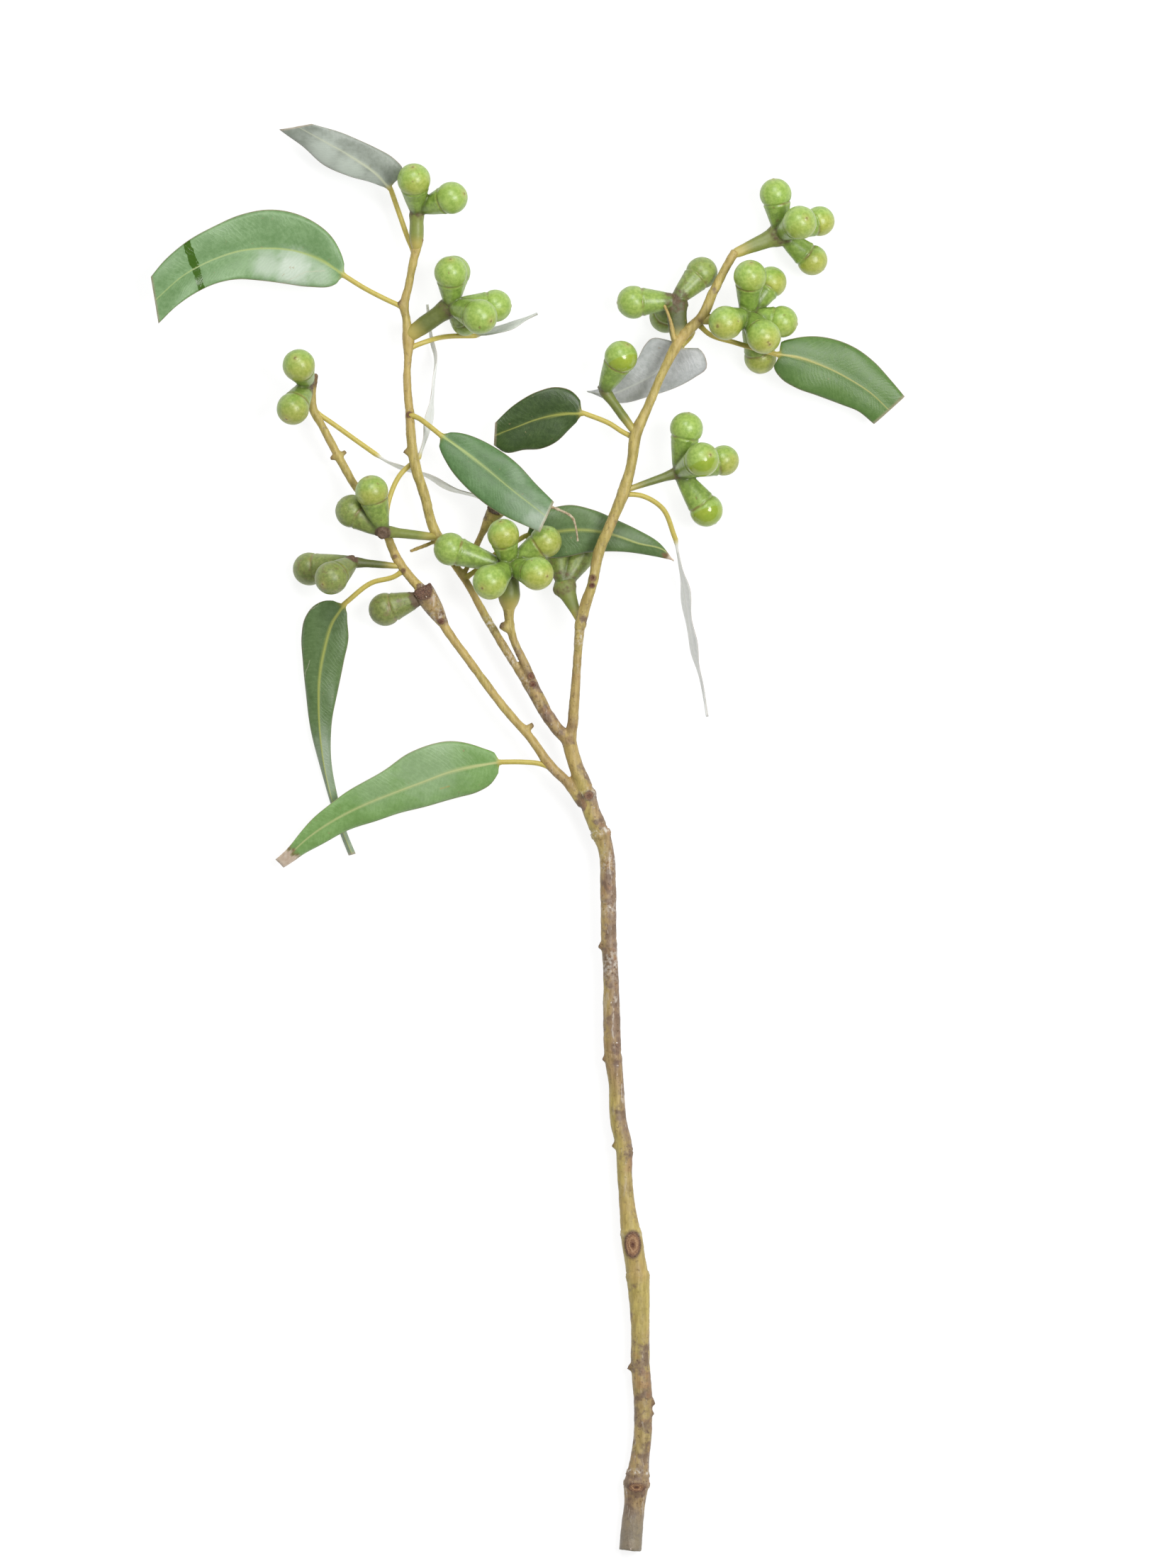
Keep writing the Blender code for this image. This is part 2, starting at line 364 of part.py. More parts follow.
def leaf_rings(petiole, middles, lefts, rights):
    """Sections along a petiole and then along its blade."""
    blade = []
    normal = None
    for i, (middle, left, right) in enumerate(zip(middles, lefts, rights)):
        ahead = middles[min(i + 1, len(middles) - 1)] - middles[max(i - 1, 0)]
        turned = ahead.cross(right - left).normalized()
        if normal is None:
            normal = Vector((0, 0, 1))
        normal = turned if turned.dot(normal) > 0 else -turned
        blade.append(leaf_ring(middle, left, right, normal, MARGIN_HALF_THICKNESS, MIDRIB_HALF_THICKNESS))
    normal = (blade[0][0] - blade[0][5]).normalized()
    across = (blade[0][0] - blade[0][2]).normalized()
    stalk = []
    centres = [Vector(value[:3]) for value in curve_values(petiole, np.linspace(0, 1, PETIOLE_SECTIONS + 1))]
    for i in reversed(range(PETIOLE_SECTIONS)):
        ahead = (centres[i + 1] - centres[max(i - 1, 0)]).normalized()
        side = (across - across.dot(ahead) * ahead).normalized()
        turned = side.cross(ahead)
        normal = turned if turned.dot(normal) > 0 else -turned
        reach = PETIOLE_RADIUS * math.cos(math.pi / 6) * side
        stalk.insert(0, leaf_ring(centres[i], centres[i] + reach, centres[i] - reach, normal,
                                  PETIOLE_RADIUS / 2, PETIOLE_RADIUS))
    return stalk + blade


def ease(share):
    """A smooth step from 0 to 1."""
    share = min(max(share, 0.0), 1.0)
    return share * share * (3 - 2 * share)


def flat_leaf_rings(leaf):
    """Sections of a leaf whose outlines are given."""
    shares = [i / (BLADE_SECTIONS - 1) for i in range(BLADE_SECTIONS)]
    middles = [Vector(value) for value in curve_values(leaf["midrib"], shares)]
    start = middles[0]
    ahead = (middles[1] - start).normalized()
    sideways = Vector((ahead.y, -ahead.x, 0)).normalized()
    if sideways.dot(Vector((*leaf["right"][0], start.z)) - start) < 0:
        sideways = -sideways
    sides = []
    for outline, rise, turn in ((leaf["left"], leaf["rises"][0], -1), (leaf["right"], leaf["rises"][1], 1)):
        first = start + turn * BLADE_START_HALF_WIDTH * sideways
        route = [(first.x, first.y, 0.0)] + [(x, y, 0.0) for x, y in outline]
        edge = []
        for share, value, middle in zip(shares, curve_values(route, shares), middles):
            fade = 1.0 if leaf["snipped"] else ease((1 - share) / RISE_SHARES[1])
            level = middle.z + rise * fade * ease(share / RISE_SHARES[0])
            edge.append(Vector((value[0], value[1], level)))
        sides.append(edge)
    if not leaf["snipped"]:
        tip_across = TIP_HALF_WIDTH * sideways
        sides[0][-1] = middles[-1] - tip_across
        sides[1][-1] = middles[-1] + tip_across
    return leaf_rings(leaf["petiole"], middles, sides[0], sides[1])


def upright_leaf_rings(leaf):
    """Sections of a leaf that stands on edge and leans a little."""
    shares = [i / (BLADE_SECTIONS - 1) for i in range(BLADE_SECTIONS)]
    middles = [Vector(value) for value in curve_values(leaf["midrib"], shares)]
    tops, feet = [], []
    for i, (share, middle) in enumerate(zip(shares, middles)):
        ahead = middles[min(i + 1, len(middles) - 1)] - middles[max(i - 1, 0)]
        sideways = Vector((-ahead.y, ahead.x, 0)).normalized()
        lean = math.radians(leaf["leans"][0] + (leaf["leans"][1] - leaf["leans"][0]) * share)
        fade = 1.0 if leaf["snipped"] else ease((1 - share) / SWELL_SHARES[1])
        swell = fade * ease(share / SWELL_SHARES[0])
        reach = TIP_HALF_WIDTH + (leaf["half_width"] - TIP_HALF_WIDTH) * swell
        spread = reach * (math.sin(lean) * sideways + math.cos(lean) * Vector((0, 0, 1)))
        tops.append(middle + spread)
        feet.append(middle - spread)
    return leaf_rings(leaf["petiole"], middles, tops, feet)


def place(mesh, look, frame, group=None):
    """An object for a mesh, in the branch's own frame. Helpers go in a group and aren't shown."""
    made = bpy.data.objects.new(mesh.name, mesh)
    made.parent = frame
    mesh.materials.append(look)
    mesh.shade_smooth()
    mesh.set_sharp_from_angle(angle=math.radians(SMOOTH_ANGLE_DEGREES))
    if group is None:
        bpy.context.scene.collection.objects.link(made)
    else:
        group.objects.link(made)
        made.display_type = "WIRE"
        made.hide_render = True
    return made


def new_group(name):
    """A collection for shapes that are joined to a part or cut from it."""
    group = bpy.data.collections.new(name)
    bpy.context.scene.collection.children.link(group)
    return group


def combine(target, operation, group):
    """Join a group of shapes to a part, or cut them from it."""
    step = target.modifiers.new(operation.lower(), "BOOLEAN")
    step.operation = operation
    step.operand_type = "COLLECTION"
    step.collection = group
    step.solver = "EXACT"


def wood_shapes(grow):
    """Rings of every wooden piece, each with its name. Grown shapes cut the clearance round the bark."""
    routes = dict(long_twig=LONG_TWIG, middle_twig=MIDDLE_TWIG, left_twig=LEFT_TWIG,
                  right_branch=RIGHT_BRANCH, woody_knob=WOODY_KNOB, bare_peduncle=BARE_PEDUNCLE,
                  twig_stub=TWIG_STUB)
    shapes = {"main_stem": tube_rings(curve_values(MAIN_STEM), STEM_SIDES, grow)}
    for name, route in routes.items():
        shapes[name] = tube_rings(curve_values(route), TWIG_SIDES, grow)
    for number, (base, tip, radius) in enumerate(BARK_BUMPS, start=1):
        route = ((*base, radius), (*tip, radius * BUMP_TIP_SHARE))
        shapes[f"bark_bump_{number:02d}"] = tube_rings(route, TWIG_SIDES, grow)
    return shapes


def build_branch(frame, bark):
    """The stem, its twigs, the knob, the stubs and the bumps as one wooden piece."""
    joined = new_group("branch_pieces")
    shapes = wood_shapes(0.0)
    branch = place(closed_mesh("branch", shapes.pop("main_stem")), bark, frame)
    for name, rings in shapes.items():
        place(closed_mesh(name, rings), bark, frame, joined)
    combine(branch, "UNION", joined)
    return branch


def build_clearance(frame, bark):
    """The wood grown by the gap, which trims whatever meets the bark."""
    clearance = new_group("bark_clearance")
    for name, rings in wood_shapes(BARK_GAP).items():
        place(closed_mesh(f"clear_{name}", rings), bark, frame, clearance)
    return clearance


def build_cluster(number, cluster, look, frame, clearance):
    """One peduncle with its buds."""
    root, head = Vector(cluster["root"]), Vector(cluster["head"])
    first, last = cluster["radii"]
    route = [(*(root + share * (head - root)), at_root * first + at_head * last)
             for share, at_root, at_head in PEDUNCLE_STAGES]
    rings = tube_rings(route, TWIG_SIDES, flat=cluster["flat"])
    name = f"bud_cluster_{number:02d}"
    peduncle = place(closed_mesh(name, rings), look, frame)
    buds = new_group(f"buds_{number:02d}")
    for order, (cap, radius, base) in enumerate(cluster["buds"], start=1):
        rings = bud_rings(base or cluster["head"], cap, radius)
        place(closed_mesh(f"bud_{number:02d}_{order}", rings), look, frame, buds)
    combine(peduncle, "UNION", buds)
    combine(peduncle, "DIFFERENCE", clearance)
    return peduncle


def build_leaf(number, rings, look, frame, clearance):
    """One leaf with its petiole, trimmed where it leaves the twig."""
    leaf = place(closed_mesh(f"leaf_{number:02d}", rings, LEAF_FLIPPED, LEAF_END_FACES), look, frame)
    combine(leaf, "DIFFERENCE", clearance)
    return leaf


def centre_on_base(parts, frame):
    """Move the frame so that the middle of the branch's footprint is at the origin."""
    corners = [vertex.co for part in parts for vertex in part.data.vertices]
    low = [min(corner[axis] for corner in corners) for axis in range(3)]
    high = [max(corner[axis] for corner in corners) for axis in range(3)]
    frame.location = (-(low[0] + high[0]) / 2, -(low[1] + high[1]) / 2, -low[2])


def main():
    clear_scene()
    bark = material("bark", BARK_COLOUR, 0.62)
    bud_skin = material("bud_skin", BUD_COLOUR, 0.42)
    leaf_green = material("leaf_green", LEAF_COLOUR, 0.48)
    leaf_silver = material("leaf_silver", SILVER_COLOUR, 0.55)
    frame = bpy.data.objects.new("cut_end", None)
    bpy.context.scene.collection.objects.link(frame)
    clearance = build_clearance(frame, bark)
    parts = [build_branch(frame, bark)]
    for number, cluster in enumerate(CLUSTERS, start=1):
        parts.append(build_cluster(number, cluster, bud_skin, frame, clearance))
    for number, leaf in enumerate(FLAT_LEAVES, start=1):
        look = leaf_silver if leaf["silver"] else leaf_green
        parts.append(build_leaf(number, flat_leaf_rings(leaf), look, frame, clearance))
    for number, leaf in enumerate(UPRIGHT_LEAVES, start=len(FLAT_LEAVES) + 1):
        parts.append(build_leaf(number, upright_leaf_rings(leaf), leaf_silver, frame, clearance))
    buds = [item for item in bpy.data.objects if item.name.startswith("bud_")]
    centre_on_base(parts + buds, frame)


main()
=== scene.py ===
import math

import bmesh
import bpy
import numpy as np
from mathutils import Matrix, Vector
from mathutils import noise
from mathutils.kdtree import KDTree


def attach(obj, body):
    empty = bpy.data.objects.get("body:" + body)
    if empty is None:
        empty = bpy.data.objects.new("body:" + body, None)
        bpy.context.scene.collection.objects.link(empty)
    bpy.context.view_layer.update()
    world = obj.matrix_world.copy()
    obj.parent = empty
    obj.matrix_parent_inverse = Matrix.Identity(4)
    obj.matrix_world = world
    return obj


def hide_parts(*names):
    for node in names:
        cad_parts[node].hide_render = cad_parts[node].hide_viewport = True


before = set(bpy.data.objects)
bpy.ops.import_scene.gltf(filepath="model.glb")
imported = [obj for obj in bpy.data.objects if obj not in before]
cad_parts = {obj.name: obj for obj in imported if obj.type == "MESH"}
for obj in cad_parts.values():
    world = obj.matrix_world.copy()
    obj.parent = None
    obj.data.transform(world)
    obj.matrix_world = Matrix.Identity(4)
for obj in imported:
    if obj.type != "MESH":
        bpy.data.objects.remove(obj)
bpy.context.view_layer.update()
body = "root"
mm = 0.001
cutEnd = np.array((31.997, -223.37, 0.0))  # where the middle of the cut end lies, in mm
print("frame loaded", len(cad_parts), "nodes")


# Node trees written as Python expressions
class Sock:
    def __init__(self, maker, out):
        self.maker = maker
        self.out = out

    def other(self, name):  # another output of the same node
        return Sock(self.maker, self.out.node.outputs[name])


def arithmetic(operation, swapped):
    def apply(self, other):
        return self.maker.math(operation, *((other, self) if swapped else (self, other)))
    return apply


for sign, operation in dict(add="ADD", sub="SUBTRACT", mul="MULTIPLY", truediv="DIVIDE", pow="POWER").items():
    setattr(Sock, f"__{sign}__", arithmetic(operation, False))
    setattr(Sock, f"__r{sign}__", arithmetic(operation, True))


class Maker:
    def __init__(self, tree):
        self.tree = tree

    def node(self, kind, settings=None, values=None, out=0):
        made = self.tree.nodes.new(kind)
        for name, value in (settings or {}).items():
            if name == "stops":
                ramp = made.color_ramp
                while len(ramp.elements) < len(value):
                    ramp.elements.new(0.5)
                for element, (place, tone) in zip(ramp.elements, value):
                    element.position = place
                    element.color = (*tone, 1.0)
            else:
                setattr(made, name, value)
        for key, value in (values or {}).items():
            if isinstance(value, Sock):
                self.tree.links.new(value.out, made.inputs[key])
            else:
                made.inputs[key].default_value = value
        return Sock(self, made.outputs[out]) if len(made.outputs) else None

    def math(self, operation, *values):
        return self.node("ShaderNodeMath", dict(operation=operation), dict(enumerate(values)))

    def step(self, low, high, value):  # a smooth step from 0 at low to 1 at high
        return self.node("ShaderNodeMapRange", dict(interpolation_type="SMOOTHSTEP"),
                         {"Value": value, "From Min": low, "From Max": high})

    def contrast(self, value):
        return self.step(0.3, 0.7, value)

    def blend(self, share, first, second):  # a mix of two colours
        first, second = [end if isinstance(end, Sock) else (*end, 1.0) for end in (first, second)]
        return self.node("ShaderNodeMix", dict(data_type="RGBA"), {0: share, 6: first, 7: second}, 2)

    def coats(self, tone, layers):  # colours laid over each other, each with its share
        for share, over in layers:
            tone = self.blend(share, tone, over)
        return tone

    def masks(self, names):  # painted values of the mesh's points
        return [self.node("ShaderNodeAttribute", dict(attribute_name=name), None, "Fac")
                for name in names.split()]

    def place(self):
        return self.node("ShaderNodeTexCoord", None, None, "Object")

    def clouds(self, where, scale, detail=2.0, rough=0.55):
        return self.node("ShaderNodeTexNoise", None,
                         {"Vector": where, "Scale": scale, "Detail": detail, "Roughness": rough})

    def vector(self, operation, first, second, out=0):
        return self.node("ShaderNodeVectorMath", dict(operation=operation), {0: first, 1: second}, out)

    def stripe(self, where, first, last, half, waver):
        # 1 along a line between two places seen from above, all in mm
        soft = leaves["strokeSoft"]
        first, last = np.array((*first, 0.0)), np.array((*last, 0.0))
        length = np.linalg.norm(last - first)
        ahead = (last - first) / length
        offset = self.vector("SUBTRACT", where, tuple((first + cutEnd) * mm))
        along = self.vector("DOT_PRODUCT", offset, tuple(ahead), 1)
        across = self.vector("DOT_PRODUCT", offset, (-ahead[1], ahead[0], 0.0), 1)
        wavering = (self.clouds(where, leaves["strokeNoise"]) - 0.5) * (2 * waver * mm)
        across = self.math("ABSOLUTE", across + wavering)
        inside = self.step((half + soft) * mm, (half - soft) * mm, across)
        return inside * self.step(-soft * mm, soft * mm, along) * self.step(
            (length + soft) * mm, (length - soft) * mm, along)


def newMaterial(name):
    made = bpy.data.materials.new(name)
    made.use_nodes = True
    made.node_tree.nodes.clear()
    return made, Maker(made.node_tree)


def finishMaterial(maker, values, height, depth):
    # the surface shader with a bump of the given height map
    normal = maker.node("ShaderNodeBump", None, {"Strength": 1.0, "Distance": depth, "Height": height})
    shader = maker.node("ShaderNodeBsdfPrincipled", None, dict(values, Normal=normal))
    maker.node("ShaderNodeOutputMaterial", None, {"Surface": shader})


# Routes and meshes, in mm from the cut end
def curveValues(points, spacing=None, shares=None):
    # values of a smooth curve through the points, every so many mm or at shares of its length
    knots = np.array(points, dtype=float)
    chords = np.linalg.norm(np.diff(knots[:, :3], axis=0), axis=1)
    stations = np.concatenate(([0.0], np.cumsum(chords)))
    slopes = np.gradient(knots, stations, axis=0)
    if shares is None:
        shares = np.linspace(0, 1, max(2, math.ceil(stations[-1] / spacing)) + 1)
    places = np.asarray(shares) * stations[-1]
    i = np.clip(np.searchsorted(stations, places, side="right") - 1, 0, len(chords) - 1)
    span = chords[i][:, None]
    u = ((places - stations[i]) / chords[i])[:, None]
    return ((2 * u**3 - 3 * u**2 + 1) * knots[i] + (u**3 - 2 * u**2 + u) * span * slopes[i]
            + (3 * u**2 - 2 * u**3) * knots[i + 1] + (u**3 - u**2) * span * slopes[i + 1])


def unit(vectors):
    return vectors / np.maximum(np.linalg.norm(vectors, axis=-1, keepdims=True), 1e-9)


def ease(values):
    values = np.clip(values, 0.0, 1.0)
    return values * values * (3 - 2 * values)


def bell(distance, width):
    return np.exp(-(distance / width) ** 2)


def wobble(points, size, seed, detail=2):
    # smooth seeded noise from -1 to 1 over places in mm
    return np.array([noise.fractal(Vector((x / size + seed, y / size, z / size)), 1.0, 2.0, detail)
                     for x, y, z in points])


def nearestOf(places, points):
    # the number of the place that is nearest to each point
    tree = KDTree(len(places))
    for i, place in enumerate(places):
        tree.insert(place[:3], i)
    tree.balance()
    return np.array([tree.find(point)[1] for point in points])


def linked(name, data):
    # a new object in the scene
    made = bpy.data.objects.new(name, data)
    bpy.context.scene.collection.objects.link(made)
    return made


def newPiece(name, points, faces, look, masks=None):
    # an object at the origin whose mesh holds the points, given in mm from the cut end
    mesh = bpy.data.meshes.new(name)
    mesh.from_pydata(((np.asarray(points) + cutEnd) * mm).tolist(), [], faces)
    piece = linked(name, mesh)
    finishPiece(piece, look, masks)
    return piece


def finishPiece(piece, look, masks=None):
    mesh = piece.data
    mesh.materials.clear()
    mesh.materials.append(look)
    for name, values in (masks or {}).items():
        layer = mesh.attributes.new(name, "FLOAT", "POINT")
        layer.data.foreach_set("value", np.asarray(values, dtype=np.float32).ravel())
    mesh.shade_smooth()
    mesh.update()


def outward(mesh, merge=None):
    # points the faces outwards, and first closes seams and poles where a distance is given
    shaped = bmesh.new()
    shaped.from_mesh(mesh)
    if merge:
        bmesh.ops.remove_doubles(shaped, verts=shaped.verts, dist=merge)
    bmesh.ops.recalc_face_normals(shaped, faces=shaped.faces)
    shaped.to_mesh(mesh)
    shaped.free()


def placesOf(mesh):
    # the mesh's points, in mm from the cut end
    found = np.empty(len(mesh.vertices) * 3)
    mesh.vertices.foreach_get("co", found)
    return found.reshape(-1, 3) / mm - cutEnd


def normalsOf(mesh):
    found = np.empty(len(mesh.vertices) * 3, dtype=np.float32)
    mesh.vertex_normals.foreach_get("vector", found)
    return found.reshape(-1, 3).astype(float)


def moveTo(mesh, points):
    # nothing goes below the surface that the branch lies on
    points = points.copy()
    points[:, 2] = np.maximum(points[:, 2], 0.0)
    mesh.vertices.foreach_set("co", ((points + cutEnd) * mm).astype(np.float32).ravel())
    mesh.update()


def evaluated(item, name):
    # a plain mesh of what the modifiers make, in a new object
    graph = bpy.context.evaluated_depsgraph_get()
    mesh = bpy.data.meshes.new_from_object(item.evaluated_get(graph), depsgraph=graph)
    mesh.name = name
    made = linked(name, mesh)
    bpy.data.objects.remove(item, do_unlink=True)
    return made


def fused(item, name, voxel, smoothing):
    # one closed skin round shapes that run into each other
    remesh = item.modifiers.new("remesh", "REMESH")
    remesh.mode = "VOXEL"
    remesh.voxel_size = voxel * mm
    soften = item.modifiers.new("soften", "SMOOTH")
    soften.factor = 0.5
    soften.iterations = smoothing
    return evaluated(item, name)


def tubeRings(values, sides, flat):
    # rings round a route of x, y, z and radius
    centres = values[:, :3]
    ahead = unit(np.gradient(centres, axis=0))
    across = unit(np.cross(ahead, (0.0, 0.0, 1.0)))
    above = np.cross(across, ahead)
    angles = 2 * math.pi * (np.arange(sides) + 0.5) / sides - math.pi / 2
    return (centres[:, None] + values[:, 3, None, None]
            * (np.cos(angles)[None, :, None] * across[:, None]
               + flat * np.sin(angles)[None, :, None] * above[:, None]))


def ringFaces(rings, sides):
    # quads between the rings of one body, and a face over each end
    faces = []
    for i in range(rings - 1):
        for k in range(sides):
            a = i * sides + k
            b = i * sides + (k + 1) % sides
            faces.append((a, b, b + sides, a + sides))
    faces.append(tuple(reversed(range(sides))))
    faces.append(tuple((rings - 1) * sides + k for k in range(sides)))
    return faces


def newTree(name, inputs, output):
    # an empty Geometry Nodes tree, its maker and its inputs by name
    tree = bpy.data.node_groups.new(name, "GeometryNodeTree")
    for label, kind in inputs.items():
        tree.interface.new_socket(label, in_out="INPUT", socket_type="NodeSocket" + kind)
    tree.interface.new_socket(output, in_out="OUTPUT", socket_type="NodeSocketGeometry")
    maker = Maker(tree)
    maker.node("NodeGroupInput")
    given = {item.name: Sock(maker, item) for item in tree.nodes[-1].outputs if item.name}
    return tree, maker, given


def finishTree(maker, shape, look, output):
    whole = maker.node("GeometryNodeRealizeInstances", None, {"Geometry": shape})
    dressed = maker.node("GeometryNodeSetMaterial", None, {"Geometry": whole, "Material": look})
    maker.node("NodeGroupOutput", None, {output: dressed})


def grown(item, tree, values):
    # puts a tree on an object, sets its inputs and returns what it makes as a plain mesh
    step = item.modifiers.new(tree.name, "NODES")
    step.node_group = tree
    for socket in tree.interface.items_tree:
        if socket.in_out == "INPUT" and socket.name in values:
            step[socket.identifier] = values[socket.name]
    return evaluated(item, item.name)


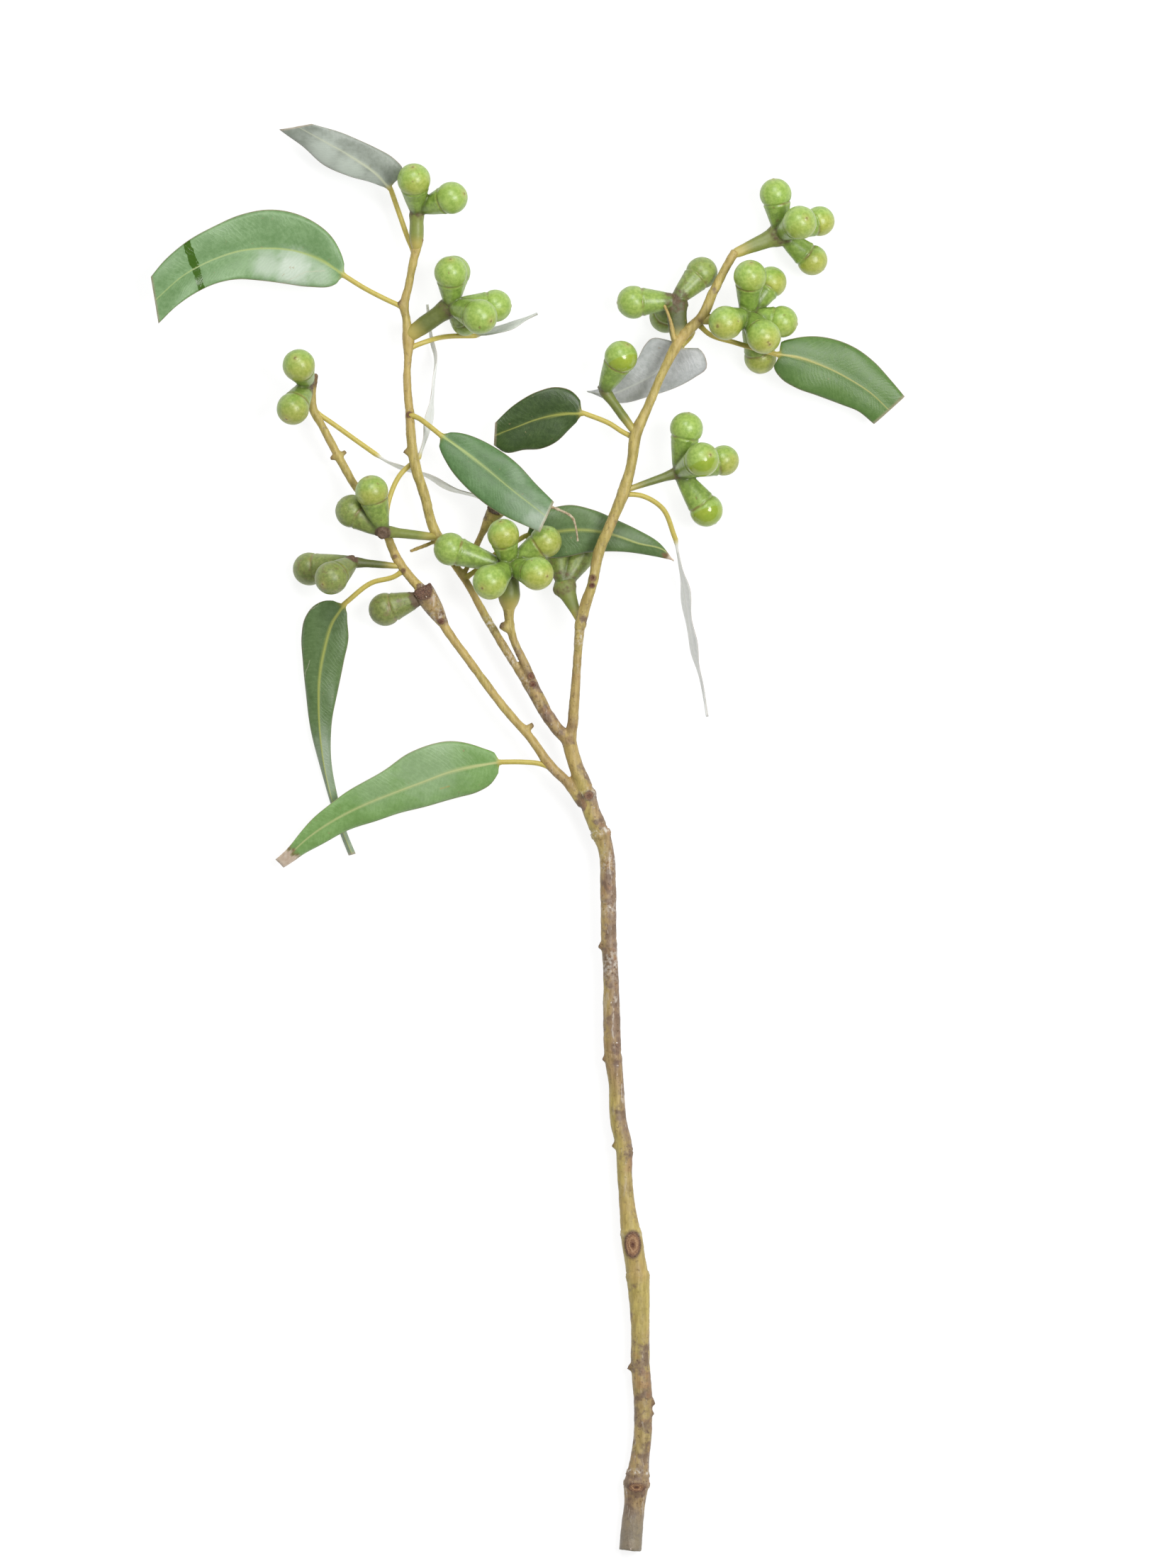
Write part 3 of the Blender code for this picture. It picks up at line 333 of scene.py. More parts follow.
# The wood
wood = dict(
    # each route lists x, y, z and radius, and a bump is a dormant bud's base, tip and base radius
    routes=dict(
        mainStem=((0.0, 0.0, 3.3, 3.5), (0.7, 8.0, 3.3, 3.5), (1.4, 15.0, 3.7, 3.3), (2.0, 21.1, 4.2, 3.9),
            (2.9, 27.6, 4.3, 3.1), (3.9, 36.4, 4.6, 2.85), (4.1, 45.1, 4.9, 2.9), (3.2, 59.8, 5.2, 3.0),
            (3.2, 68.4, 5.4, 2.9), (2.8, 80.2, 5.7, 3.35), (2.4, 86.0, 5.8, 3.6), (1.6, 90.9, 5.9, 3.25),
            (0.8, 96.0, 6.0, 3.4), (-0.7, 106.4, 6.4, 2.6), (-1.8, 121.1, 6.9, 2.45), (-1.8, 125.1, 7.0, 2.6),
            (-3.8, 135.6, 7.3, 2.6), (-4.4, 147.1, 7.6, 2.45), (-5.3, 154.2, 7.9, 2.7),
            (-5.8, 167.1, 8.3, 2.7), (-6.1, 182.4, 8.8, 2.4), (-6.6, 189.8, 9.0, 2.45),
            (-6.9, 206.9, 9.6, 2.5), (-7.8, 220.4, 10.2, 2.5), (-9.6, 225.6, 10.5, 2.85),
            (-12.2, 231.8, 10.8, 2.7), (-13.6, 236.7, 11.0, 2.8), (-17.4, 247.1, 11.5, 2.3),
            (-19.6, 255.3, 12.0, 2.3)),
        longTwig=((-19.2, 253.5, 11.9, 1.9), (-23.2, 258.0, 12.1, 2.0), (-25.4, 261.0, 12.2, 2.0),
            (-30.6, 270.0, 12.3, 2.1), (-33.6, 273.8, 11.9, 1.4), (-38.9, 282.2, 10.7, 1.35),
            (-45.1, 292.4, 9.6, 1.3), (-51.5, 303.8, 8.7, 1.2), (-57.1, 312.0, 8.5, 1.4),
            (-60.1, 317.1, 9.0, 1.7), (-62.0, 321.4, 9.6, 1.6), (-64.4, 330.8, 11.2, 1.6),
            (-66.8, 338.2, 12.3, 1.7), (-68.3, 346.0, 12.6, 1.6), (-69.0, 356.0, 12.4, 1.4),
            (-69.8, 365.3, 12.0, 1.3), (-69.6, 374.0, 11.5, 1.3), (-69.4, 379.0, 11.3, 1.9),
            (-70.1, 385.8, 11.4, 1.3), (-70.7, 389.3, 11.5, 1.45), (-69.2, 396.7, 12.0, 1.3),
            (-67.8, 404.1, 12.6, 1.35), (-66.6, 409.5, 13.0, 1.4)),
        middleTwig=((-29.3, 268.8, 12.2, 1.7), (-32.5, 276.7, 12.6, 1.4), (-36.9, 286.8, 13.3, 1.3),
            (-37.9, 293.0, 13.8, 1.6), (-38.0, 296.0, 14.0, 1.9), (-38.0, 297.6, 14.1, 1.8)),
        leftTwig=((-14.6, 234.0, 11.0, 1.9), (-20.3, 241.4, 11.1, 1.6), (-24.5, 245.4, 11.2, 1.6),
            (-30.9, 254.2, 11.3, 1.4), (-38.9, 263.4, 11.1, 1.4), (-49.4, 277.4, 11.1, 1.35),
            (-58.8, 290.6, 11.5, 1.5), (-63.8, 299.2, 11.6, 1.7), (-69.5, 305.8, 11.2, 1.5),
            (-73.1, 310.9, 10.8, 1.5), (-76.0, 317.8, 10.2, 1.3), (-82.0, 328.2, 9.5, 1.3),
            (-86.3, 333.9, 9.5, 1.3), (-91.3, 342.7, 10.0, 1.35), (-97.6, 354.4, 10.8, 1.3),
            (-99.1, 357.0, 11.0, 1.4), (-99.6, 361.6, 11.4, 1.3), (-98.4, 368.7, 12.0, 0.9)),
        rightBranch=((-19.0, 252.8, 11.9, 2.0), (-18.1, 258.4, 12.5, 1.75), (-17.6, 264.1, 13.4, 1.65),
            (-16.4, 281.1, 16.0, 1.4), (-15.6, 289.6, 17.1, 1.7), (-14.3, 295.3, 17.7, 1.8),
            (-11.8, 302.9, 18.1, 1.6), (-10.0, 312.1, 18.4, 1.75), (-5.6, 322.7, 18.8, 1.7),
            (-2.2, 331.2, 19.0, 1.9), (0.4, 340.4, 19.0, 1.65), (1.7, 349.3, 19.0, 1.9),
            (5.5, 358.1, 18.6, 1.5), (11.8, 372.3, 17.4, 1.5), (14.9, 378.0, 17.0, 1.8),
            (18.6, 382.9, 16.4, 1.6), (21.8, 385.6, 16.0, 1.7), (25.9, 393.9, 15.2, 1.5),
            (30.9, 403.5, 14.3, 1.4), (33.0, 407.0, 14.0, 1.5)),
        knob=((-58.2, 290.0, 11.5, 1.6), (-61.6, 295.6, 12.3, 2.9), (-64.2, 299.8, 13.0, 3.3),
            (-65.2, 301.7, 13.2, 3.1)),
        barePeduncle=((-52.3, 305.0, 8.6, 0.7), (-48.3, 314.4, 9.7, 1.0), (-45.6, 320.1, 12.4, 1.3),
            (-43.0, 324.4, 14.0, 2.5), (-41.8, 326.0, 14.5, 3.0)),
        twigStub=((-60.9, 316.2, 9.0, 0.7), (-65.0, 314.6, 8.6, 0.65), (-69.0, 313.0, 8.0, 0.65)),
        ridge=((10.4, 390.7, 16.6, 0.55), (12.3, 386.0, 17.6, 0.6), (13.9, 379.0, 18.5, 0.8))),
    bumps=(((4.4, 41.9, 4.9), (7.2, 43.6, 5.1), 1.3), ((4.3, 45.4, 4.9), (7.6, 46.8, 5.2), 1.5),
        ((3.4, 56.2, 5.2), (-0.6, 57.8, 5.4), 1.3), ((-1.8, 125.1, 7.0), (-5.4, 127.6, 7.2), 1.4),
        ((-5.3, 152.8, 7.9), (-8.6, 154.6, 8.1), 1.3), ((-6.6, 188.2, 9.0), (-9.8, 189.8, 9.2), 1.3),
        ((16.6, 380.6, 16.8), (21.6, 385.0, 17.4), 1.9), ((-32.5, 257.3, 11.3), (-30.3, 258.9, 11.5), 1.1),
        ((-37.0, 288.3, 13.6), (-40.6, 290.0, 14.2), 1.6), ((-68.0, 343.0, 12.5), (-70.8, 344.6, 12.6), 1.1),
        ((-91.3, 342.7, 10.0), (-93.9, 342.2, 10.2), 1.0), ((-91.3, 342.7, 10.0), (-89.0, 344.4, 10.2), 1.0),
        ((-67.0, 406.0, 12.9), (-65.3, 411.2, 13.6), 1.2), ((-71.2, 389.6, 11.7), (-72.5, 391.2, 12.3), 1.3)),
    routeSpacing=0.8, bumpSpacing=0.5, bumpTaper=0.7, sides=20, voxel=0.42, smoothing=3,
    # unevenness: height, size and seed
    relief=((0.12, 3.0, 3.1), (0.05, 0.9, 7.7)),
    # broken faces that are cut flat: middle, direction and reach
    flats=(((-63.4, 300.4, 15.0), (-0.25, 0.42, 0.87), 4.4), ((-41.6, 325.2, 16.0), (0.2, 0.75, 0.63), 3.6)),
    # browned bark: place, reach and darkness
    burnt=(((-98.6, 368.0, 12.0), 5.0, 0.95), ((33.4, 407.9, 14.4), 1.7, 0.8),
        ((-65.4, 410.9, 13.5), 1.3, 0.8), ((-72.6, 391.0, 12.4), 1.6, 0.85), ((-69.4, 312.9, 8.0), 1.2, 0.8),
        ((-60.5, 315.2, 9.2), 1.4, 0.6), ((-40.7, 290.2, 15.3), 2.0, 0.95), ((8.2, 45.4, 5.2), 2.8, 0.85),
        ((-1.2, 57.8, 5.4), 1.7, 0.85), ((-10.4, 190.0, 9.2), 1.4, 0.7), ((-9.2, 154.6, 8.1), 1.4, 0.7)),
    # how brown the main stem is from the cut end up, at heights in mm
    ages=((0, 0.8), (18, 0.78), (40, 0.7), (62, 0.5), (80, 0.28), (105, 0.3), (125, 0.5), (145, 0.66),
        (162, 0.88), (205, 0.82), (218, 0.66), (232, 0.45), (250, 0.35)),
    # how brown a route is: from which y to which y it changes, and from what to what
    turning=dict(
        longTwig=(268, 314, 0.62, 0.1), middleTwig=(266, 292, 0.9, 0.35), leftTwig=(234, 262, 0.6, 0.12),
        rightBranch=(262, 335, 0.55, 0.18), knob=(289, 298, 0.62, 0.8), barePeduncle=(304, 322, 0.2, 0.5)),
    agePatches=0.25, patchSize=9.0, greyReach=17.0, grey=0.75, sunless=0.3, sunlessFrom=100.0,
    # pale crust: route, y there, reach and amount
    crusts=(("mainStem", 24.7, 0.6, 0.8), ("mainStem", 99.0, 1.0, 0.4), ("mainStem", 184.0, 4.5, 0.6),
        ("mainStem", 201.5, 2.0, 0.5), ("mainStem", 216.0, 3.0, 0.6), ("mainStem", 225.4, 0.8, 1.0),
        ("mainStem", 237.0, 1.6, 0.5), ("longTwig", 273.0, 1.5, 0.5), ("longTwig", 279.6, 1.8, 0.8),
        ("longTwig", 290.4, 1.8, 0.9), ("rightBranch", 286.0, 2.5, 0.6), ("knob", 293.0, 3.0, 0.45)),
    # raised rings round the stem and twigs: route, y there and height
    rings=(("mainStem", 21.1, 0.35), ("mainStem", 24.0, 0.2), ("mainStem", 86.0, 0.25),
        ("mainStem", 99.5, 0.2), ("mainStem", 125.1, 0.2), ("mainStem", 154.2, 0.2),
        ("mainStem", 190.0, 0.15), ("mainStem", 224.5, 0.55), ("mainStem", 236.7, 0.4),
        ("longTwig", 261.0, 0.15), ("longTwig", 271.5, 0.2), ("rightBranch", 290.0, 0.15),
        ("longTwig", 317.1, 0.12), ("longTwig", 355.8, 0.12), ("rightBranch", 331.0, 0.12)),
    ringWidth=1.0, dipBehind=1.7, dipWidth=0.45,
    # round scars: place on the surface, radius, depth, darkness and how long they are along the stem
    scars=(((0.8, 96.0, 9.2), 2.8, 0.4, 1.0, 1.65), ((2.0, 19.9, 7.9), 2.9, 0.25, 0.9, 0.55),
        ((-31.0, 274.0, 14.0), 1.2, 0.35, 1.0, 1.0), ((-30.5, 271.5, 14.3), 1.1, 0.3, 1.0, 1.0),
        ((-10.3, 318.3, 19.9), 1.0, 0.3, 0.9, 1.0), ((-11.8, 304.6, 19.7), 1.15, 0.3, 0.75, 1.1),
        ((-11.9, 302.3, 19.6), 1.0, 0.3, 1.0, 0.85), ((-69.1, 355.8, 13.9), 1.1, 0.3, 0.95, 1.0),
        ((-71.0, 307.0, 12.6), 0.9, 0.15, 0.6, 1.0), ((-59.2, 291.2, 13.3), 1.15, 0.25, 0.95, 1.0),
        ((-13.0, 236.6, 13.6), 1.5, 0.3, 0.75, 1.0), ((-18.9, 254.0, 14.2), 1.5, 0.15, 0.3, 1.0),
        ((-73.6, 311.4, 12.0), 0.8, 0.15, 0.5, 1.0)),
    tones=dict(
        young=((0.41, 0.325, 0.09), (0.6, 0.485, 0.145)), warm=(0.57, 0.38, 0.14),
        tan=((0.27, 0.175, 0.075), (0.48, 0.33, 0.16)), brown=((0.16, 0.095, 0.072), (0.34, 0.23, 0.17)),
        rust=(0.42, 0.2, 0.09), flake=(0.66, 0.58, 0.48), crust=(0.78, 0.74, 0.66), speck=(0.11, 0.06, 0.035),
        # shade is the colour of the painted shade that darkens the bark toward its underside
        grey=((0.16, 0.135, 0.1), (0.36, 0.32, 0.24)), shade=(0.15, 0.1, 0.04),
        torn=((0.05, 0.022, 0.016), (0.24, 0.125, 0.08)), eye=((0.26, 0.11, 0.05), (0.58, 0.36, 0.19)),
        pupil=(0.13, 0.045, 0.025), cut=((0.2, 0.17, 0.12), (0.36, 0.31, 0.23))),
    barkDepth=0.0003, circleSpacing=0.9)


def sweepTree():
    # round wood along every spline, as thick as the spline's points say
    tree, maker, given = newTree("sweptWood", dict(Routes="Geometry", Sides="Int", Bark="Material"), "Wood")
    circle = maker.node("GeometryNodeCurvePrimitiveCircle", None, {
        "Resolution": given["Sides"], "Radius": 1.0})
    tube = maker.node("GeometryNodeCurveToMesh", None, {
        "Curve": given["Routes"], "Profile Curve": circle, "Fill Caps": True,
        "Scale": maker.node("GeometryNodeInputRadius")})
    finishTree(maker, tube, given["Bark"], "Wood")
    return tree


def newRoutes(name, routes):
    # one curve object with a spline for each route of x, y, z and radius
    data = bpy.data.curves.new(name, "CURVE")
    data.dimensions = "3D"
    for values in routes:
        spline = data.splines.new("POLY")
        spline.points.add(len(values) - 1)
        for point, (x, y, z, radius) in zip(spline.points, values):
            point.co = (*((np.array((x, y, z)) + cutEnd) * mm), 1.0)
            point.radius = radius * mm
    return linked(name, data)


def woodRoutes():
    routes = {name: curveValues(points, spacing=wood["routeSpacing"])
              for name, points in wood["routes"].items()}
    for number, (base, tip, radius) in enumerate(wood["bumps"]):
        ends = ((*base, radius), (*tip, radius * wood["bumpTaper"]))
        routes[f"bump{number}"] = curveValues(ends, spacing=wood["bumpSpacing"])
    return routes


def makeBark():
    bark, maker = newMaterial("bark")
    tones = wood["tones"]
    where = maker.place()
    age, scar, cut, heart, ringed, grey, low, crust = maker.masks("age scar cut heart ringed grey low crust")
    long = maker.node("ShaderNodeMapping", None, {"Vector": where, "Scale": (1.0, 0.2, 1.0)})
    patches = maker.clouds(where, 75.0, 4.0, 0.6)
    blotches = maker.clouds(where, 260.0, 3.0, 0.6)
    streaks = maker.clouds(long, 900.0, 3.0, 0.6)
    flakes = maker.clouds(long, 620.0, 3.0, 0.7)
    grain = maker.clouds(where, 2600.0)
    specks = maker.clouds(where, 1000.0)
    warm = maker.step(0.48, 0.6, maker.clouds(where, 42.0))
    rusty = maker.step(0.56, 0.66, maker.clouds(where, 190.0))
    old = maker.step(0.15, 0.95, age)
    young = maker.blend(maker.contrast(streaks), *tones["young"])
    young = maker.blend(warm * 0.4, young, tones["warm"])
    tan = maker.blend(maker.contrast(streaks), *tones["tan"])
    brown = maker.blend(maker.contrast(blotches), *tones["brown"])
    torn = maker.blend(maker.contrast(grain), *tones["torn"])
    turns = (ringed + blotches * 3.0) * (2 * math.pi / wood["circleSpacing"])
    circles = maker.math("SINE", turns) * 0.5 + 0.5
    eye = maker.blend(circles * 0.45 + grain * 0.5, *tones["eye"])
    eye = maker.blend(maker.step(2.0, 1.1, ringed + blotches * 1.6), eye, tones["pupil"])
    tone = maker.coats(young, (
        (maker.step(0.36, 0.6, patches * 0.6 + blotches * 0.4) * (0.15 + 1.2 * old), tan),
        (maker.step(-0.03, 0.12, old * 0.2 + 0.39 - patches * 0.4 - blotches * 0.6) * 0.85, brown),
        (rusty * old * 0.45, tones["rust"]),
        (maker.step(0.59, 0.67, flakes) * old * 0.75, tones["flake"]),
        (crust * maker.step(0.42, 0.58, specks), tones["crust"]),
        (maker.step(0.38, 0.32, specks) * (0.25 + 0.5 * old), tones["speck"]),
        (grey, maker.blend(grain, *tones["grey"])),
        # painted shade: the bark darkens where its surface turns away from up
        (low * 0.62, tones["shade"]),
        (scar, torn),
        (heart, eye),
        (cut, maker.blend(grain, *tones["cut"]))))
    height = streaks * 0.6 + blotches * 0.5 + grain * 0.2 + flakes * 0.5
    height = height + scar * grain + heart * circles * 0.6
    rough = 0.4 + 0.16 * grain + 0.12 * scar
    finishMaterial(maker, {"Base Color": tone, "Roughness": rough}, height, wood["barkDepth"])
    return bark


def paintWood(piece, routes):
    # shapes node rings, scars and broken ends, and paints the bark's age and a painted shade toward its
    # underside
    mesh = piece.data
    points, normals = placesOf(mesh), normalsOf(mesh)
    names = list(routes)
    every = np.concatenate(list(routes.values()))
    owner = np.concatenate([np.full(len(values), i) for i, values in enumerate(routes.values())])
    nearest = nearestOf(every, points)
    route = owner[nearest]
    along = every[nearest, 1]
    lift = sum(height * wobble(points, size, seed) for height, size, seed in wood["relief"])
    uneven = 1 + 0.5 * wobble(points, 1.2, 11.0, 1)
    for name, y, height in wood["rings"]:
        here = route == names.index(name)
        lift += height * here * bell(along - y, wood["ringWidth"]) * uneven
        lift -= 0.5 * height * here * bell(along - y - wood["dipBehind"], wood["dipWidth"])
    scar, heart, ringed, crust = np.zeros((4, len(points)))
    ragged = np.clip(0.6 + 1.1 * wobble(points, 1.0, 31.0), 0, 1)
    for name, y, reach, amount in wood["crusts"]:
        crust = np.maximum(crust, (route == names.index(name)) * amount * bell(along - y, reach) * ragged)
    for place, radius, depth, dark, length in wood["scars"]:
        far = np.linalg.norm((points - np.array(place)) / np.array((1.0, length, 1.0)), axis=1)
        lift += depth * (0.7 * bell(far - radius, 0.35 * radius) - bell(far, 0.6 * radius))
        scar = np.maximum(scar, dark * ease((radius * 1.15 - far) / (0.35 * radius)))
        heart = np.maximum(heart, dark * ease((radius * 0.85 - far) / (0.25 * radius)))
        ringed = np.where(far < radius, far, ringed)
    for place, ahead, reach in wood["flats"]:
        ahead = unit(np.array(ahead))
        offset = points - np.array(place)
        beyond = offset @ ahead
        aside = np.linalg.norm(offset - beyond[:, None] * ahead, axis=1)
        near = aside < reach
        top = near * (beyond > -0.25) * ease((beyond + 0.25) / 0.3)
        rough = wobble(points, 0.9, 5.0)
        points = points - (near * np.maximum(beyond, 0))[:, None] * ahead
        lift = np.where(top > 0.5, (0.35 * ease((aside - 1.6) / 1.0) + 0.25 * rough) * top, lift)
        scar = np.maximum(scar, top * np.clip(0.9 + 0.3 * rough, 0, 1))
    charred = 0.9 + 0.4 * wobble(points, 1.5, 4.0)
    for place, reach, dark in wood["burnt"]:
        far = np.linalg.norm(points - np.array(place), axis=1)
        scar = np.maximum(scar, dark * ease((reach - far) / (0.6 * reach)) * charred)
    plain = np.array([not name.startswith("bump") for name in names])[owner]
    for name in names:
        if name.startswith("bump"):
            scar = np.maximum(scar, 0.9 * bell(np.linalg.norm(points - routes[name][-1, :3], axis=1), 1.2))
    points = points + lift[:, None] * normals
    # a dormant bud is as old as the wood that it sits on
    bump = ~plain[nearest]
    route[bump] = owner[plain][nearestOf(every[plain], points[bump])]
    age = np.where(route == names.index("mainStem"), np.interp(along, *zip(*wood["ages"])), 0.0)
    for name, (start, stop, first, last) in wood["turning"].items():
        share = ease((along - start) / (stop - start))
        age = np.where(route == names.index(name), first + (last - first) * share, age)
    onStem = route == names.index("mainStem")
    right = normals[:, 0] * onStem * ease((along - wood["sunlessFrom"]) / 30.0)
    age = age + wood["agePatches"] * wobble(points, wood["patchSize"], 21.0) + wood["sunless"] * right
    moveTo(mesh, points)
    # low is a painted shade, growing as the surface turns to face down
    finishPiece(piece, bark, {
        "age": np.clip(age, 0.0, 1.0), "scar": np.clip(scar, 0, 1), "cut": ease((0.7 - points[:, 1]) / 0.5),
        "grey": wood["grey"] * ease((wood["greyReach"] - along) / 10.0) * onStem, "heart": heart,
        "ringed": ringed, "low": ease((0.6 - normals[:, 2]) / 1.1), "crust": crust})


bark = makeBark()
routes = woodRoutes()
swept = grown(newRoutes("wood", routes.values()), sweepTree(), {"Sides": wood["sides"], "Bark": bark})
branch = fused(swept, "forked_stem", wood["voxel"], wood["smoothing"])
paintWood(branch, routes)
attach(branch, body)
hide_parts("branch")
print("wood", len(branch.data.polygons), "faces")


flecks = dict(
    perArea=26000.0, size=0.42, longer=1.7, flatness=0.3, seed=11, oldest=0.42, smallest=0.45, largest=1.35,
    tones=((0.24, 0.15, 0.1), (0.72, 0.65, 0.56)), depth=0.0001)


def fleckTree():
    # loose flecks of bark, thicker where the bark is old
    tree, maker, given = newTree("barkFlecks", {
        "Wood": "Geometry", "Per area": "Float", "Size": "Float", "Flatness": "Float", "Oldest": "Float",
        "Seed": "Int", "Fleck": "Material"}, "Flecks")
    age = maker.node("GeometryNodeInputNamedAttribute", dict(data_type="FLOAT"), {"Name": "age"})
    share = maker.math("MAXIMUM", age - given["Oldest"], 0.0)
    scatter = maker.node("GeometryNodeDistributePointsOnFaces", None, {
        "Mesh": given["Wood"], "Density": share * share * given["Per area"] * 4.0, "Seed": given["Seed"]})
    shell = maker.node("GeometryNodeMeshIcoSphere", None, {"Radius": 0.5, "Subdivisions": 1})
    flat = maker.node("ShaderNodeCombineXYZ", None, {
        "X": given["Size"], "Y": given["Size"] * flecks["longer"], "Z": given["Size"] * given["Flatness"]})
    chip = maker.node("GeometryNodeTransform", None, {"Geometry": shell, "Scale": flat})
    size = maker.node("FunctionNodeRandomValue", dict(data_type="FLOAT"),
                      {2: flecks["smallest"], 3: flecks["largest"], "Seed": given["Seed"]}, 1)
    placed = maker.node("GeometryNodeInstanceOnPoints", None, {
        "Points": scatter, "Instance": chip, "Rotation": scatter.other("Rotation"), "Scale": size})
    finishTree(maker, placed, given["Fleck"], "Flecks")
    return tree


def makeFleck():
    fleck, maker = newMaterial("bark_fleck")
    where = maker.place()
    fine = maker.clouds(where, 2600.0)
    tone = maker.blend(maker.step(0.4, 0.55, maker.clouds(where, 330.0)), *flecks["tones"])
    finishMaterial(maker, {"Base Color": tone, "Roughness": 0.6 + 0.2 * fine}, fine, flecks["depth"])
    return fleck


flecked = grown(linked("bark_flecks", branch.data.copy()), fleckTree(), {
    "Per area": flecks["perArea"], "Size": flecks["size"] * mm, "Flatness": flecks["flatness"],
    "Oldest": flecks["oldest"], "Seed": flecks["seed"], "Fleck": makeFleck()})
moveTo(flecked.data, placesOf(flecked.data))
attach(flecked, body)
print("bark flecks", len(flecked.data.polygons), "faces")


